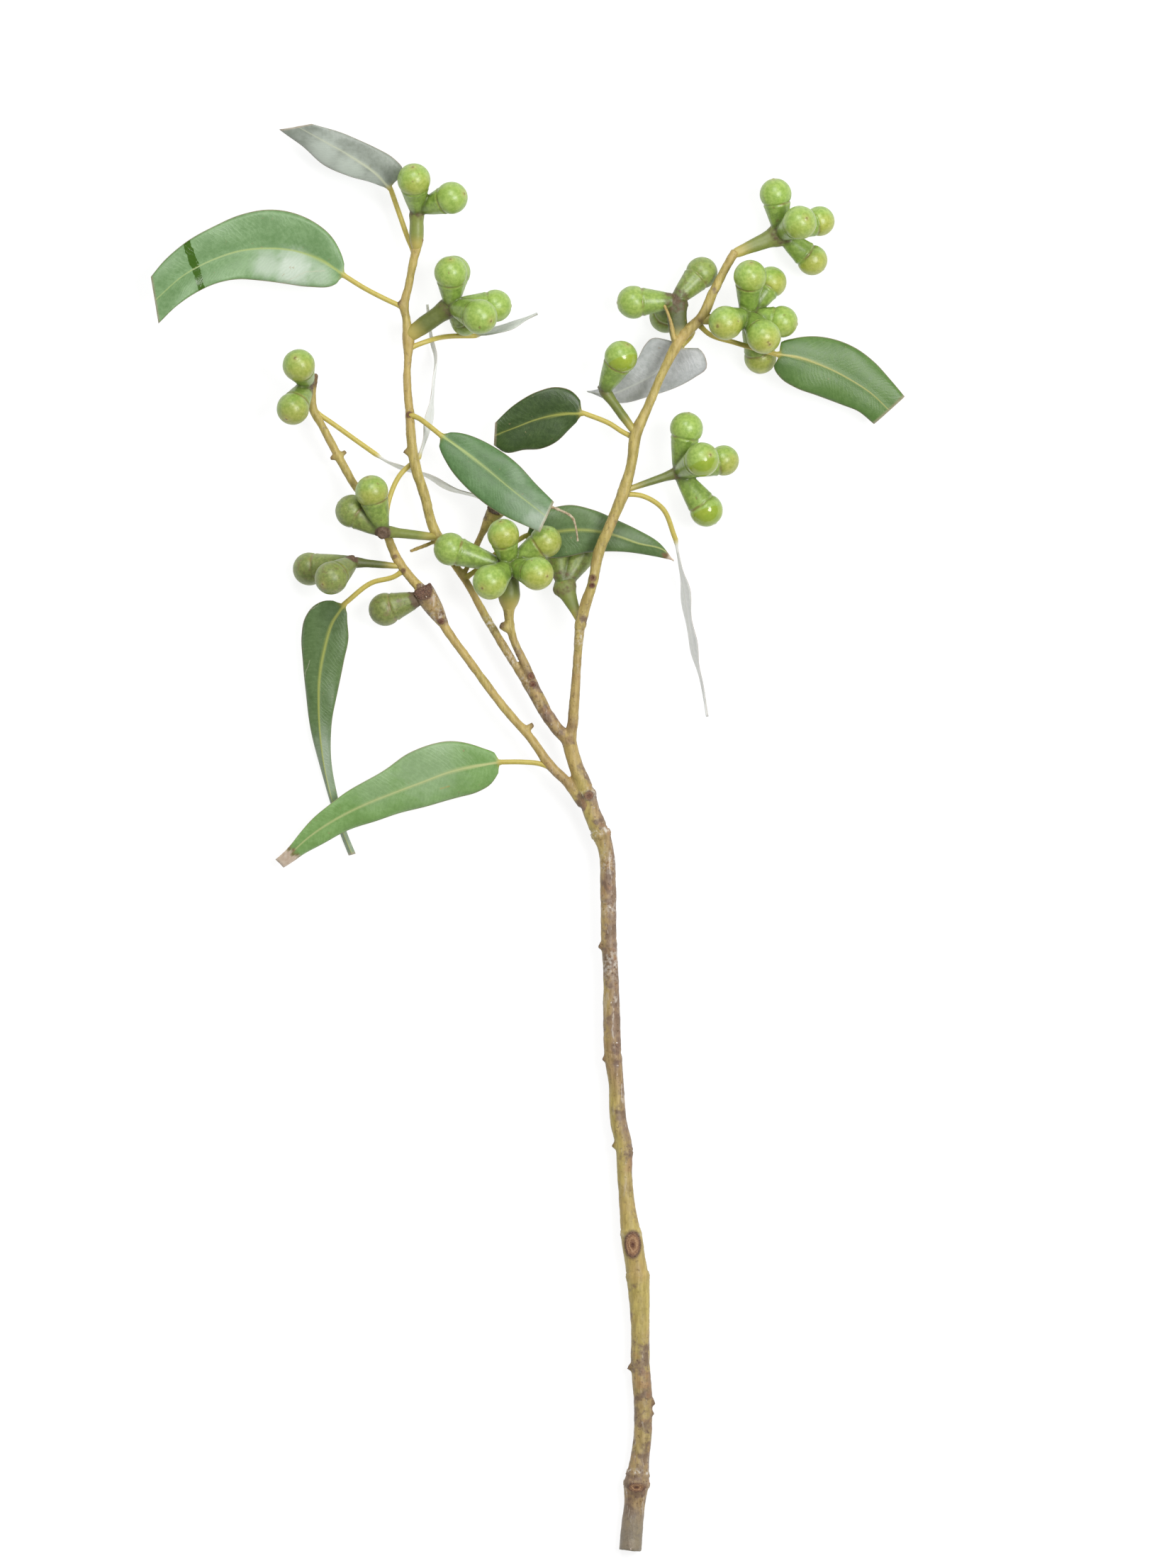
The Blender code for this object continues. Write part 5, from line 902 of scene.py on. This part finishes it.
# The leaves
leaves = dict(
    silvers=("silver", "ash", "pale", "white"),
    half=9, crowding=1.45, spacing=1.0, stalkSpacing=0.8, petioleRadius=0.8, collar=0.35, collarLength=3.0,
    ribHalf=0.42, ribWidth=0.75, edgeHalf=0.2, edgePower=10, edgeLeast=0.12, startHalf=0.64, tipHalf=0.3,
    riseShares=(0.3, 0.2), swellShares=(0.35, 0.6), wave=0.45, waveLength=17.0, waveStart=0.25, waveWidth=5,
    bow=0.5, bowWidth=8, ribReach=0.4, ribNarrows=0.55, ribFades=0.35,
    # flat blades: petiole up to the blade and midrib with heights, the outlines of both sides and how far
    # these rise; the pale patches of waxy bloom with painted sheen are place, size and amount, and dry is how
    # far the tip is withered
    flat=(
        dict(petiole=((-67.4, 406.2, 12.5), (-69.3, 410.4, 10.6), (-71.8, 417.4, 10.2)),
             midrib=((-74.9, 426.3, 11.6), (-80.0, 431.7, 12.4), (-87.9, 437.1, 12.6), (-96.4, 441.9, 11.8),
                     (-104.0, 446.1, 10.6)),
             left=((-71.2, 432.9), (-73.8, 435.7), (-79.4, 439.3), (-88.0, 443.1), (-99.6, 447.0)),
             right=((-77.2, 426.9), (-88.0, 430.6), (-96.4, 434.2), (-103.2, 440.5), (-110.0, 445.2)),
             rises=(1.5, -2.5), snipped=True, look="silver",
             bloom=((-88.0, 432.5, 6.0, 0.7), (-96.0, 438.0, 6.0, 0.7), (-80.5, 428.5, 4.0, 0.5))),
        dict(petiole=((-70.7, 389.3, 11.5), (-77.0, 392.2, 12.0), (-83.5, 395.6, 12.3)),
             midrib=((-89.1, 399.1, 12.0), (-96.4, 404.0, 11.0), (-104.9, 407.1, 10.2), (-113.4, 407.9, 10.0),
                     (-122.0, 407.1, 10.4), (-130.4, 404.4, 11.2), (-138.9, 400.0, 12.0),
                     (-148.8, 391.5, 12.2)),
             left=((-90.4, 406.2), (-93.6, 411.8), (-99.3, 416.4), (-107.8, 419.6), (-113.4, 420.0),
                   (-122.0, 418.4), (-130.4, 414.7), (-138.9, 409.9), (-145.8, 404.0), (-150.0, 398.9)),
             right=((-93.6, 396.0), (-100.4, 395.8), (-108.9, 396.9), (-116.2, 397.8), (-122.4, 398.2),
                    (-129.3, 396.9), (-136.1, 393.8), (-141.8, 389.8), (-147.6, 384.3)),
             rises=(2.5, 3.2), snipped=True, look="bright",
             bloom=((-105.5, 401.3, 6.5, 0.75), (-113.5, 402.6, 5.0, 0.5), (-97.0, 399.5, 4.0, 0.35))),
        dict(petiole=((-69.0, 355.8, 12.6), (-66.4, 354.8, 14.2), (-63.2, 352.5, 16.2)),
             midrib=((-59.6, 349.6, 17.8), (-54.5, 346.1, 19.2), (-45.3, 339.0, 20.6), (-36.8, 332.0, 22.2),
                     (-26.0, 323.6, 24.0)),
             left=((-54.5, 350.2), (-47.4, 348.2), (-40.3, 344.3), (-34.7, 339.8), (-29.7, 334.4),
                   (-23.8, 328.3)),
             right=((-59.8, 346.1), (-57.3, 340.4), (-52.4, 334.0), (-44.7, 327.3), (-38.2, 323.4),
                    (-28.2, 318.9)),
             rises=(-1.2, 0.6), snipped=True, look="green",
             bloom=((-28.5, 321.5, 6.0, 0.45), (-34.0, 327.0, 7.0, 0.15), (-35.0, 336.5, 4.0, 0.12))),
        dict(petiole=((-51.8, 304.6, 8.7), (-48.4, 307.0, 9.6), (-43.0, 311.6, 11.2)),
             midrib=((-33.0, 317.8, 11.4), (-22.7, 319.2, 12.0), (-16.9, 319.7, 12.6), (-9.8, 319.2, 12.9),
                     (-4.9, 318.1, 12.8), (2.2, 315.6, 12.2), (11.3, 312.9, 11.5), (13.6, 310.2, 11.2)),
             left=((-29.0, 325.0), (-23.3, 327.0), (-19.1, 327.6), (-12.0, 326.2), (-3.6, 322.7),
                   (2.2, 319.9), (9.3, 315.6), (13.6, 310.2)),
             right=((-30.5, 312.4), (-24.7, 311.0), (-12.0, 312.8), (-1.3, 312.8), (7.9, 311.4),
                    (13.6, 310.2)),
             rises=(-0.8, -0.6), snipped=False, look="olive", dry=3.2),
        dict(petiole=((1.2, 348.6, 18.2), (-2.1, 350.2, 17.2), (-6.3, 352.9, 16.4)),
             midrib=((-14.4, 356.2, 16.2), (-22.7, 355.9, 15.6), (-29.8, 354.2, 15.2), (-36.1, 351.8, 14.8),
                     (-42.5, 349.4, 14.0)),
             left=((-15.6, 360.2), (-18.4, 363.1), (-23.3, 364.4), (-29.0, 363.1), (-36.1, 358.9),
                   (-42.3, 353.3)),
             right=((-16.2, 353.9), (-19.1, 351.1), (-23.3, 347.2), (-28.3, 345.0), (-33.2, 344.7),
                    (-38.9, 344.0), (-42.7, 346.4)),
             rises=(2.0, -1.6), snipped=True, look="dark"),
        dict(petiole=((18.2, 382.6, 16.6), (19.6, 382.0, 14.1), (19.0, 380.4, 11.9)),
             midrib=((16.4, 377.6, 10.4), (11.3, 372.0, 9.8), (7.3, 368.4, 9.6), (3.9, 366.4, 9.4),
                     (-0.4, 364.4, 9.2), (-4.9, 362.7, 8.8), (-13.4, 363.1, 8.0)),
             left=((21.5, 376.6), (23.6, 373.8), (24.0, 370.6), (20.3, 367.6), (14.0, 364.2), (6.4, 361.7),
                   (-3.5, 359.6), (-13.4, 363.1)),
             right=((12.4, 379.1), (6.4, 379.6), (4.4, 377.4), (2.4, 373.6), (-5.6, 365.3), (-13.4, 363.1)),
             rises=(-1.5, -0.6), snipped=False, look="ash"),
        dict(petiole=((21.2, 384.4, 15.2), (24.2, 381.4, 14.2), (33.0, 378.3, 13.5)),
             midrib=((45.8, 374.7, 13.4), (51.5, 374.0, 12.6), (57.4, 372.2, 11.6), (63.3, 369.8, 10.6),
                     (69.3, 366.6, 9.6), (75.3, 362.7, 8.6), (81.2, 357.2, 7.6)),
             left=((46.7, 378.0), (51.5, 379.8), (57.4, 380.4), (64.6, 379.3), (70.4, 376.9), (76.4, 372.5),
                   (81.8, 366.6), (86.0, 361.6)),
             right=((45.0, 370.6), (47.3, 367.1), (51.5, 364.4), (58.6, 361.8), (66.4, 358.9), (71.1, 357.1),
                    (76.4, 352.9)),
             rises=(-0.4, -0.6), snipped=True, look="deep"),
        dict(petiole=((-70.6, 307.4, 11.1), (-73.4, 305.4, 10.6), (-81.0, 303.2, 9.2)),
             midrib=((-89.2, 296.9, 8.4), (-93.5, 290.1, 7.6), (-95.8, 282.4, 6.8), (-97.3, 274.0, 6.0),
                     (-97.6, 265.1, 5.2), (-97.0, 254.4, 4.2), (-95.6, 244.2, 3.2), (-93.5, 235.3, 2.4),
                     (-89.8, 224.7, 1.6), (-87.1, 218.1, 1.3)),
             left=((-88.6, 291.6), (-88.2, 286.0), (-89.6, 278.8), (-91.7, 268.7), (-93.5, 259.1),
                   (-93.8, 252.0), (-93.2, 244.2), (-91.7, 236.5), (-88.7, 224.9), (-86.0, 218.4)),
             right=((-92.3, 297.6), (-95.8, 297.6), (-99.4, 295.8), (-101.8, 292.4), (-103.0, 286.5),
                    (-102.5, 278.2), (-101.8, 270.4), (-100.9, 262.1), (-98.8, 251.4), (-95.8, 240.7),
                    (-90.8, 224.3), (-88.2, 217.8)),
             rises=(-0.7, -0.9), snipped=True, look="olive",
             bloom=((-95.0, 245.0, 13.0, 0.24), (-90.0, 226.0, 11.0, 0.34))),
        dict(petiole=((-24.0, 245.0, 11.2), (-28.5, 246.6, 11.2), (-34.0, 247.1, 11.0)),
             midrib=((-40.2, 247.1, 10.6), (-47.6, 246.0, 10.0), (-56.6, 244.0, 9.4), (-65.6, 240.7, 9.0),
                     (-74.4, 237.4, 8.6), (-83.3, 233.8, 8.2), (-92.3, 229.3, 7.8), (-101.2, 223.4, 7.2),
                     (-109.8, 215.4, 6.2)),
             left=((-41.6, 243.0), (-43.8, 240.0), (-47.6, 237.8), (-53.6, 236.0), (-62.5, 233.6),
                   (-71.4, 231.2), (-77.4, 229.4), (-86.3, 226.4), (-95.3, 222.2), (-101.2, 218.7),
                   (-105.4, 215.9), (-108.7, 214.1)),
             right=((-41.6, 249.4), (-46.4, 251.6), (-51.8, 253.2), (-57.2, 253.6), (-62.5, 252.7),
                    (-69.1, 250.0), (-76.2, 245.1), (-83.3, 241.0), (-90.5, 236.5), (-98.2, 230.6),
                    (-103.0, 225.2), (-107.6, 219.9), (-111.1, 216.6)),
             rises=(-1.8, 1.8), snipped=True, look="fresh", dry=5.6,
             bloom=((-64.0, 246.5, 13.0, 0.2), (-80.0, 240.0, 8.0, 0.14)))),
    # blades seen edge on, which stand upright and lean sideways by the degrees at base and tip
    upright=(
        dict(petiole=((-69.4, 376.6, 11.2), (-64.2, 378.6, 10.8), (-57.6, 380.4, 4.4)),
             midrib=((-48.6, 380.7, 1.3), (-43.5, 381.9, 4.4), (-37.6, 383.8, 5.3), (-29.0, 387.6, 5.3)),
             halfWidth=4.8, leans=(-18.0, -18.0), snipped=False, look="pale"),
        dict(petiole=((-76.6, 319.5, 10.1), (-75.6, 328.8, 9.6), (-72.1, 336.9, 9.3)),
             midrib=((-66.2, 342.4, 8.9), (-64.0, 349.1, 8.6), (-62.6, 358.2, 8.0), (-61.6, 366.0, 6.8),
                     (-61.0, 373.1, 5.2), (-62.2, 379.3, 3.2), (-63.6, 390.5, 1.6)),
             halfWidth=5.6, leans=(26.0, -24.0), snipped=False, look="white"),
        dict(petiole=((-99.0, 357.0, 10.9), (-93.6, 353.4, 9.0), (-86.3, 348.2, 6.6)),
             midrib=((-79.8, 343.6, 4.8), (-75.8, 341.1, 4.5), (-69.6, 338.9, 4.3), (-64.4, 337.2, 4.4),
                     (-57.7, 333.6, 4.6), (-47.1, 330.2, 4.6)),
             halfWidth=3.7, leans=(10.0, 10.0), snipped=True, look="white"),
        dict(petiole=((-2.0, 331.0, 18.4), (3.6, 330.4, 16.6), (9.8, 326.8, 13.4)),
             midrib=((14.2, 316.9, 9.0), (15.4, 310.4, 7.8), (16.8, 303.3, 7.2), (19.3, 286.4, 6.8),
                     (23.2, 268.0, 5.6), (24.2, 261.3, 5.0)),
             halfWidth=6.2, leans=(12.0, 12.0), snipped=False, look="white")),
    # colours of the face in its dark and light patches, the back and the midrib, and how clear the veins are
    looks=dict(
        green=((0.092, 0.19, 0.06), (0.138, 0.265, 0.096), (0.3, 0.35, 0.24), (0.42, 0.52, 0.17), 0.22),
        bright=((0.168, 0.308, 0.116), (0.258, 0.42, 0.19), (0.3, 0.35, 0.24), (0.42, 0.52, 0.16), 0.2),
        olive=((0.095, 0.165, 0.05), (0.138, 0.225, 0.08), (0.3, 0.35, 0.24), (0.4, 0.44, 0.1), 0.22),
        deep=((0.09, 0.185, 0.038), (0.135, 0.245, 0.062), (0.3, 0.35, 0.24), (0.5, 0.46, 0.12), 0.18),
        dark=((0.034, 0.068, 0.014), (0.066, 0.118, 0.027), (0.3, 0.35, 0.24), (0.4, 0.42, 0.09), 0.2),
        fresh=((0.175, 0.33, 0.085), (0.25, 0.43, 0.14), (0.3, 0.38, 0.22), (0.56, 0.6, 0.26), 0.16),
        silver=((0.28, 0.315, 0.26), (0.4, 0.44, 0.385), (0.13, 0.22, 0.09), (0.68, 0.71, 0.52), 0.15),
        ash=((0.4, 0.42, 0.42), (0.56, 0.57, 0.58), (0.13, 0.22, 0.09), (0.64, 0.66, 0.62), 0.15),
        pale=((0.45, 0.49, 0.44), (0.63, 0.66, 0.61), (0.5, 0.54, 0.48), (0.68, 0.7, 0.62), 0.1),
        white=((0.78, 0.8, 0.77), (0.92, 0.93, 0.9), (0.78, 0.8, 0.77), (0.76, 0.78, 0.7), 0.1)),
    # strokes on a look, seen from above: first and last place, half width, waver and kind
    strokes=dict(
        bright=(((-139.0, 411.0), (-133.6, 394.0), 1.15, 0.9, "wet"), ((-109.4, 396.6),
            (-101.6, 400.6), 0.1, 0.5, "crease"), ((-101.6, 400.6), (-95.4, 400.9), 0.1, 0.4, "crease")),
        olive=(((-101.2, 294.1), (-97.3, 296.9), 0.1, 2.2, "crease"), ((-100.3, 279.0),
            (-102.0, 273.2), 0.1, 1.6, "crease")),
        fresh=(((-59.5, 238.6), (-56.4, 239.4), 0.28, 1.2, "graze"),)),
    strokeSoft=0.12, strokeNoise=380.0,
    strokeTones=dict(crease=(0.65, (0.5, 0.5, 0.36)), graze=(0.6, (0.45, 0.36, 0.12))),
    # the pale patches' colour stands for whitish waxy bloom together with painted sheen
    tones=dict(
        # wet pairs a wet streak's own colour with the whitish colour of its painted glints
        wet=((0.055, 0.14, 0.008), (0.5, 0.62, 0.4)), bloom=(0.64, 0.71, 0.62), edge=(0.45, 0.33, 0.24),
        speck=(0.36, 0.27, 0.14), stalk=((0.5, 0.4, 0.07), (0.7, 0.59, 0.16)),
        withered=((0.44, 0.29, 0.18), (0.84, 0.74, 0.6)), scorch=(0.22, 0.1, 0.05),
        straw=((0.36, 0.25, 0.13), (0.66, 0.56, 0.4))),
    veinSpacing=1.35, leafDepth=0.0001, strawDepth=0.0002, strandSides=8,
    # a dry strand torn from the third blade's cut edge: places and radius
    strand=((-25.2, 327.0, 23.0, 0.5), (-22.5, 326.0, 23.6, 0.42), (-17.9, 323.2, 23.8, 0.42),
        (-17.0, 320.4, 23.0, 0.36), (-16.4, 316.2, 21.6, 0.3)),
)


def lighter(tone, factor, more=0.0):
    return [min(1.0, factor * value + more) for value in tone]


def makeLeafLook(name, face, pale, back, ribTone, veins):
    look, maker = newMaterial("leaf_" + name)
    tones = leaves["tones"]
    where = maker.place()
    across, along, edge, stalk, under, dry, bloom, rib, scorch = maker.masks(
        "across along edge stalk under dry bloom rib scorch")
    soft = maker.clouds(where, 120.0, 3.0)
    mottle = maker.clouds(where, 700.0, 3.0, 0.6)
    fine = maker.clouds(where, 2800.0)
    drift = maker.clouds(where, 150.0) * 5.0
    specks = maker.step(0.71, 0.76, maker.clouds(where, 620.0))
    reach = maker.math("ABSOLUTE", across)
    turns = (along - reach * 0.9 + drift) * (2 * math.pi / leaves["veinSpacing"])
    wave = maker.math("SINE", turns) * 0.5 + 0.5
    lines = wave ** 3.0 * maker.step(0.3, 1.2, reach) * maker.step(0.99, 0.9, edge)
    lines = lines * maker.step(0.35, 0.6, soft)
    hem = maker.step(0.045, 0.0, maker.math("ABSOLUTE", edge - 0.91)) * maker.step(1.0, 3.0, reach)
    tone = maker.blend(maker.step(0.3, 0.72, mottle * 0.6 + soft * 0.4), face, pale)
    tone = maker.coats(tone, (
        (lines * veins * 0.5, lighter(pale, 1.45, 0.03)),
        (hem * veins * 0.6, lighter(pale, 1.4, 0.03)),
        # painted sheen: pale patches that stand for a light's reflection, mixed with whitish waxy bloom
        (bloom * (0.9 + 0.1 * wave), tones["bloom"]),
        (under, maker.blend(mottle, lighter(back, 0.85), lighter(back, 1.2)))))
    rough = 0.32 + 0.2 * mottle + 0.15 * under - 0.06 * bloom
    for first, last, half, waver, kind in leaves["strokes"].get(name, ()):
        line = maker.stripe(where, first, last, half, waver) * (1.0 - under)
        if kind == "wet":
            # painted glints: whitish specks in the wet streak stand for light caught on droplets
            paintedGlints = maker.step(0.66, 0.7, maker.clouds(where, 900.0, 1.0))
            tone = maker.blend(line, tone, maker.blend(paintedGlints * 0.5, *tones["wet"]))
            rough = rough - 0.22 * line
        else:
            share, over = leaves["strokeTones"][kind]
            tone = maker.blend(line * share, tone, over)
    tone = maker.coats(tone, (
        (maker.step(0.965, 0.995, edge) * 0.65, tones["edge"]),
        (specks * 0.5, tones["speck"]),
        (rib, ribTone),
        (stalk, maker.blend(mottle, *tones["stalk"])),
        (dry, maker.blend(mottle, *tones["withered"])),
        (scorch * 0.85, tones["scorch"])))
    height = lines * 0.2 + fine * 0.3 + mottle * 0.4
    finishMaterial(maker, {"Base Color": tone, "Roughness": rough, "Specular IOR Level": 0.55}, height,
                   leaves["leafDepth"])
    return look


def bladeEdges(leaf):
    # the midrib and both margins at even steps along the blade
    rough = curveValues(leaf["midrib"], spacing=1.0)
    length = np.linalg.norm(np.diff(rough, axis=0), axis=1).sum()
    shares = np.linspace(0, 1, int(length / leaves["spacing"]) + 2)
    middles = curveValues(leaf["midrib"], shares=shares)
    ahead = unit(np.gradient(middles, axis=0))
    along = np.concatenate(([0.0], np.cumsum(np.linalg.norm(np.diff(middles, axis=0), axis=1))))
    if "halfWidth" in leaf:
        sideways = unit(np.cross((0.0, 0.0, 1.0), ahead))
        lean = np.radians(leaf["leans"][0] + (leaf["leans"][1] - leaf["leans"][0]) * shares)[:, None]
        fade = 1.0 if leaf["snipped"] else ease((1 - shares) / leaves["swellShares"][1])
        swell = fade * ease(shares / leaves["swellShares"][0])
        reach = (leaves["tipHalf"] + (leaf["halfWidth"] - leaves["tipHalf"]) * swell)[:, None]
        spread = reach * (np.sin(lean) * sideways + np.cos(lean) * np.array((0.0, 0.0, 1.0)))
        return middles, middles + spread, middles - spread, along, shares
    start = middles[0]
    sideways = unit(np.array((ahead[0][1], -ahead[0][0], 0.0)))
    if sideways @ (np.array((*leaf["right"][0], start[2])) - start) < 0:
        sideways = -sideways
    sides = []
    fade = 1.0 if leaf["snipped"] else ease((1 - shares) / leaves["riseShares"][1])
    for outline, rise, turn in ((leaf["left"], leaf["rises"][0], -1), (leaf["right"], leaf["rises"][1], 1)):
        first = start + turn * leaves["startHalf"] * sideways
        edge = curveValues([(first[0], first[1], 0.0)] + [(x, y, 0.0) for x, y in outline], shares=shares)
        edge[:, 2] = middles[:, 2] + rise * fade * ease(shares / leaves["riseShares"][0])
        if not leaf["snipped"]:
            edge[-1] = middles[-1] + turn * leaves["tipHalf"] * sideways
        sides.append(edge)
    return middles, *sides, along, shares


def makeLeaf(name, leaf, look, seed):
    middles, lefts, rights, along, shares = bladeEdges(leaf)
    half = leaves["half"]
    ahead = unit(np.gradient(middles, axis=0))
    normals = unit(np.cross(ahead, rights - lefts))
    for i in range(len(normals)):
        before = normals[i - 1] if i else np.array((0.0, 0.0, 1.0))
        if normals[i] @ before < 0:
            normals[i] = -normals[i]
    if "halfWidth" not in leaf and normals[len(normals) // 2][2] < 0:
        normals = -normals
    columns = []
    for side, sign in ((lefts, -1), (rights, 1)):
        reach = np.linalg.norm(side - middles, axis=1)
        for k in range(half + 1):
            u = (k / half) ** leaves["crowding"]
            arch = leaves["bow"] * 4 * u * (1 - u) * np.minimum(reach / leaves["bowWidth"], 1)
            wave = leaves["wave"] * u**2 * np.sin(2 * math.pi * along / leaves["waveLength"] + seed + sign)
            wave = wave * ease(shares / leaves["waveStart"])
            wave = wave * ease(np.minimum(reach / leaves["waveWidth"], 1))
            tapered = max(math.sqrt(max(0.0, 1 - u ** leaves["edgePower"])), leaves["edgeLeast"])
            thick = (leaves["edgeHalf"] + (leaves["ribHalf"] - leaves["edgeHalf"])
                     * bell(u * reach, leaves["ribWidth"])) * tapered
            spot = middles + (side - middles) * u + (arch + wave)[:, None] * normals
            columns.append((spot, thick, sign * u * reach, np.full(len(middles), u)))
    # from the left margin over the midrib to the right one
    order = columns[half:0:-1] + columns[half + 1:]
    spots, thick, across, edge = [np.stack(values, axis=1) for values in zip(*order)]
    upper = spots + thick[:, :, None] * normals[:, None]
    lower = spots - thick[:, :, None] * normals[:, None]
    blade = np.concatenate((upper, lower[:, ::-1]), axis=1)
    sides = blade.shape[1]
    # the petiole's rings turn smoothly into the blade's
    stalkLine = curveValues((*leaf["petiole"], leaf["midrib"][0]), spacing=leaves["stalkSpacing"])[:-1]
    stalkAhead = unit(np.gradient(np.vstack((stalkLine, middles[:1])), axis=0))[:-1]
    sideAxis = unit(rights[1] - lefts[1])
    angles = np.concatenate((np.linspace(math.pi, 0, 2 * half + 1), -np.linspace(0, math.pi, 2 * half + 1)))
    cosines, sines = np.cos(angles)[:, None], np.sin(angles)[:, None]
    stalkRings = np.zeros((len(stalkLine), sides, 3))
    normal = normals[0]
    for i in reversed(range(len(stalkLine))):
        axis = unit(sideAxis - (sideAxis @ stalkAhead[i]) * stalkAhead[i])
        turned = np.cross(stalkAhead[i], axis)
        normal = turned if turned @ normal > 0 else -turned
        collar = leaves["collar"] * ease(1 - i * leaves["stalkSpacing"] / leaves["collarLength"])
        radius = leaves["petioleRadius"] * (1.0 + collar)
        stalkRings[i] = stalkLine[i] + radius * (cosines * axis + sines * normal)
    blend = ease(along / leaves["collarLength"])[:, None, None]
    bladeAxis = unit(rights - lefts)
    circles = middles[:, None] + leaves["petioleRadius"] * (
        cosines[None] * bladeAxis[:, None] + sines[None] * normals[:, None])
    early = along < leaves["collarLength"]
    blade[early] = (circles * (1 - blend) + blade * blend)[early]
    rings = np.concatenate((stalkRings, blade))

    def onBlade(values, stalk=0.0):
        # the same values on both faces of the blade, and one value on the stalk
        values = np.broadcast_to(values, across.shape)
        face = np.concatenate((values, values[:, ::-1]), axis=1)
        return np.vstack((np.full((len(stalkLine), sides), stalk), face))

    ribReach = leaves["ribReach"] * (1 - leaves["ribNarrows"] * shares)[:, None]
    ribShare = ease(1.5 - np.abs(across) / ribReach) * (1 - leaves["ribFades"] * shares)[:, None]
    under = onBlade(0.0)
    under[len(stalkLine):, sides // 2:] = 1.0
    stalk = onBlade(ease(1 - along / 2.5)[:, None], 1.0)
    ragged = wobble(rings.reshape(-1, 3), 1.6, seed).reshape(rings.shape[:2])
    toTip = np.concatenate((np.full(len(stalkLine), 99.0), along[-1] - along))[:, None]
    dry, scorch, bloom = np.zeros((3, *rings.shape[:2]))
    if "dry" in leaf:
        beyond = leaf["dry"] - toTip + 1.2 * ragged
        dry, scorch = ease(beyond / 0.8), bell(beyond, 0.5)
    if leaf["snipped"]:
        dry = np.maximum(dry, 0.7 * ease((0.35 - toTip) / 0.3))
    # pale patches of waxy bloom together with painted sheen
    for x, y, size, amount in leaf.get("bloom", ()):
        far = np.linalg.norm(rings[:, :, :2] - np.array((x, y)), axis=2)
        patch = amount * ease(1.35 - far / size + 0.25 * ragged) * (1 - under) * (1 - stalk)
        bloom = np.maximum(bloom, patch)
    piece = newPiece(name, rings.reshape(-1, 3), ringFaces(len(rings), sides), look, dict(
        across=onBlade(across), along=onBlade(along[:, None]), edge=onBlade(edge), rib=onBlade(ribShare),
        stalk=stalk, under=under, dry=dry, scorch=scorch, bloom=bloom))
    moveTo(piece.data, placesOf(piece.data))
    outward(piece.data)
    return piece


leafLooks = {name: makeLeafLook(name, *values) for name, values in leaves["looks"].items()}
for number, leaf in enumerate(leaves["flat"] + leaves["upright"], start=1):
    piece = makeLeaf(f"blade_{number:02d}", leaf, leafLooks[leaf["look"]], 1.9 * number)
    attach(piece, body)
    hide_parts(f"leaf_{number:02d}")
print("leaves", len(leaves["flat"]) + len(leaves["upright"]))


def makeStraw():
    straw, maker = newMaterial("dry_straw")
    mottle = maker.clouds(maker.place(), 800.0, 3.0, 0.6)
    tone = maker.blend(maker.contrast(mottle), *leaves["tones"]["straw"])
    finishMaterial(maker, {"Base Color": tone, "Roughness": 0.6 + 0.2 * mottle}, mottle, leaves["strawDepth"])
    return straw


strandRoute = curveValues(leaves["strand"], spacing=0.5)
strandRoute[:, 3] *= 1 + 0.35 * wobble(strandRoute[:, :3], 1.1, 2.0)
strand = grown(newRoutes("torn_strand", [strandRoute]), bpy.data.node_groups["sweptWood"],
               {"Sides": leaves["strandSides"], "Bark": makeStraw()})
strand.data.shade_smooth()
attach(strand, body)
print("strand", len(strand.data.polygons), "faces")


# The floor, the lights and the camera
studio = dict(
    pictureHigh=0.49156, centre=(0.01880, 0.01685), distance=8.0, sensor=36.0,
    floorSize=30.0, floorDrop=0.0002, floorTone=0.25, floorGlow=0.85, sky=0.25, white=(1.0, 1.0, 1.0, 1.0),
    # softboxes: place, size and strength
    lights=(((0.75, 0.2, 1.55), 0.75, 17.0), ((-0.1, 1.1, 1.35), 0.7, 10.5)))


def makeFloor():
    look, maker = newMaterial("floor_white")
    shade = studio["floorTone"]
    shader = maker.node("ShaderNodeBsdfPrincipled", None, {
        "Base Color": (shade, shade, shade, 1.0), "Roughness": 0.9, "Specular IOR Level": 0.1,
        "Emission Color": studio["white"], "Emission Strength": studio["floorGlow"]})
    maker.node("ShaderNodeOutputMaterial", None, {"Surface": shader})
    size = studio["floorSize"] / 2
    mesh = bpy.data.meshes.new("floor")
    corners = [(-size, -size, 0), (size, -size, 0), (size, size, 0), (-size, size, 0)]
    mesh.from_pydata(corners, [], [(0, 1, 2, 3)])
    mesh.materials.append(look)
    floor = linked("floor", mesh)
    floor.location.z = -studio["floorDrop"]


def makeLights():
    for number, (place, size, watts) in enumerate(studio["lights"], start=1):
        data = bpy.data.lights.new(f"softbox_{number}", "AREA")
        data.shape = "DISK"
        data.size = size
        data.energy = watts
        lamp = linked(f"softbox_{number}", data)
        lamp.location = place
        lamp.rotation_euler = (-Vector(place)).to_track_quat("-Z", "Y").to_euler()
    world = bpy.data.worlds.new("studio_white")
    world.use_nodes = True
    sky = world.node_tree.nodes["Background"].inputs
    sky["Color"].default_value = studio["white"]
    sky["Strength"].default_value = studio["sky"]
    bpy.context.scene.world = world


def makeCamera():
    data = bpy.data.cameras.new("camera")
    data.sensor_width = studio["sensor"]
    data.lens = studio["sensor"] * studio["distance"] / studio["pictureHigh"]
    camera = linked("camera", data)
    camera.location = (*studio["centre"], studio["distance"])
    bpy.context.scene.camera = camera


makeFloor()
makeLights()
makeCamera()
bpy.context.scene.view_settings.view_transform = "Standard"
print("studio ready")
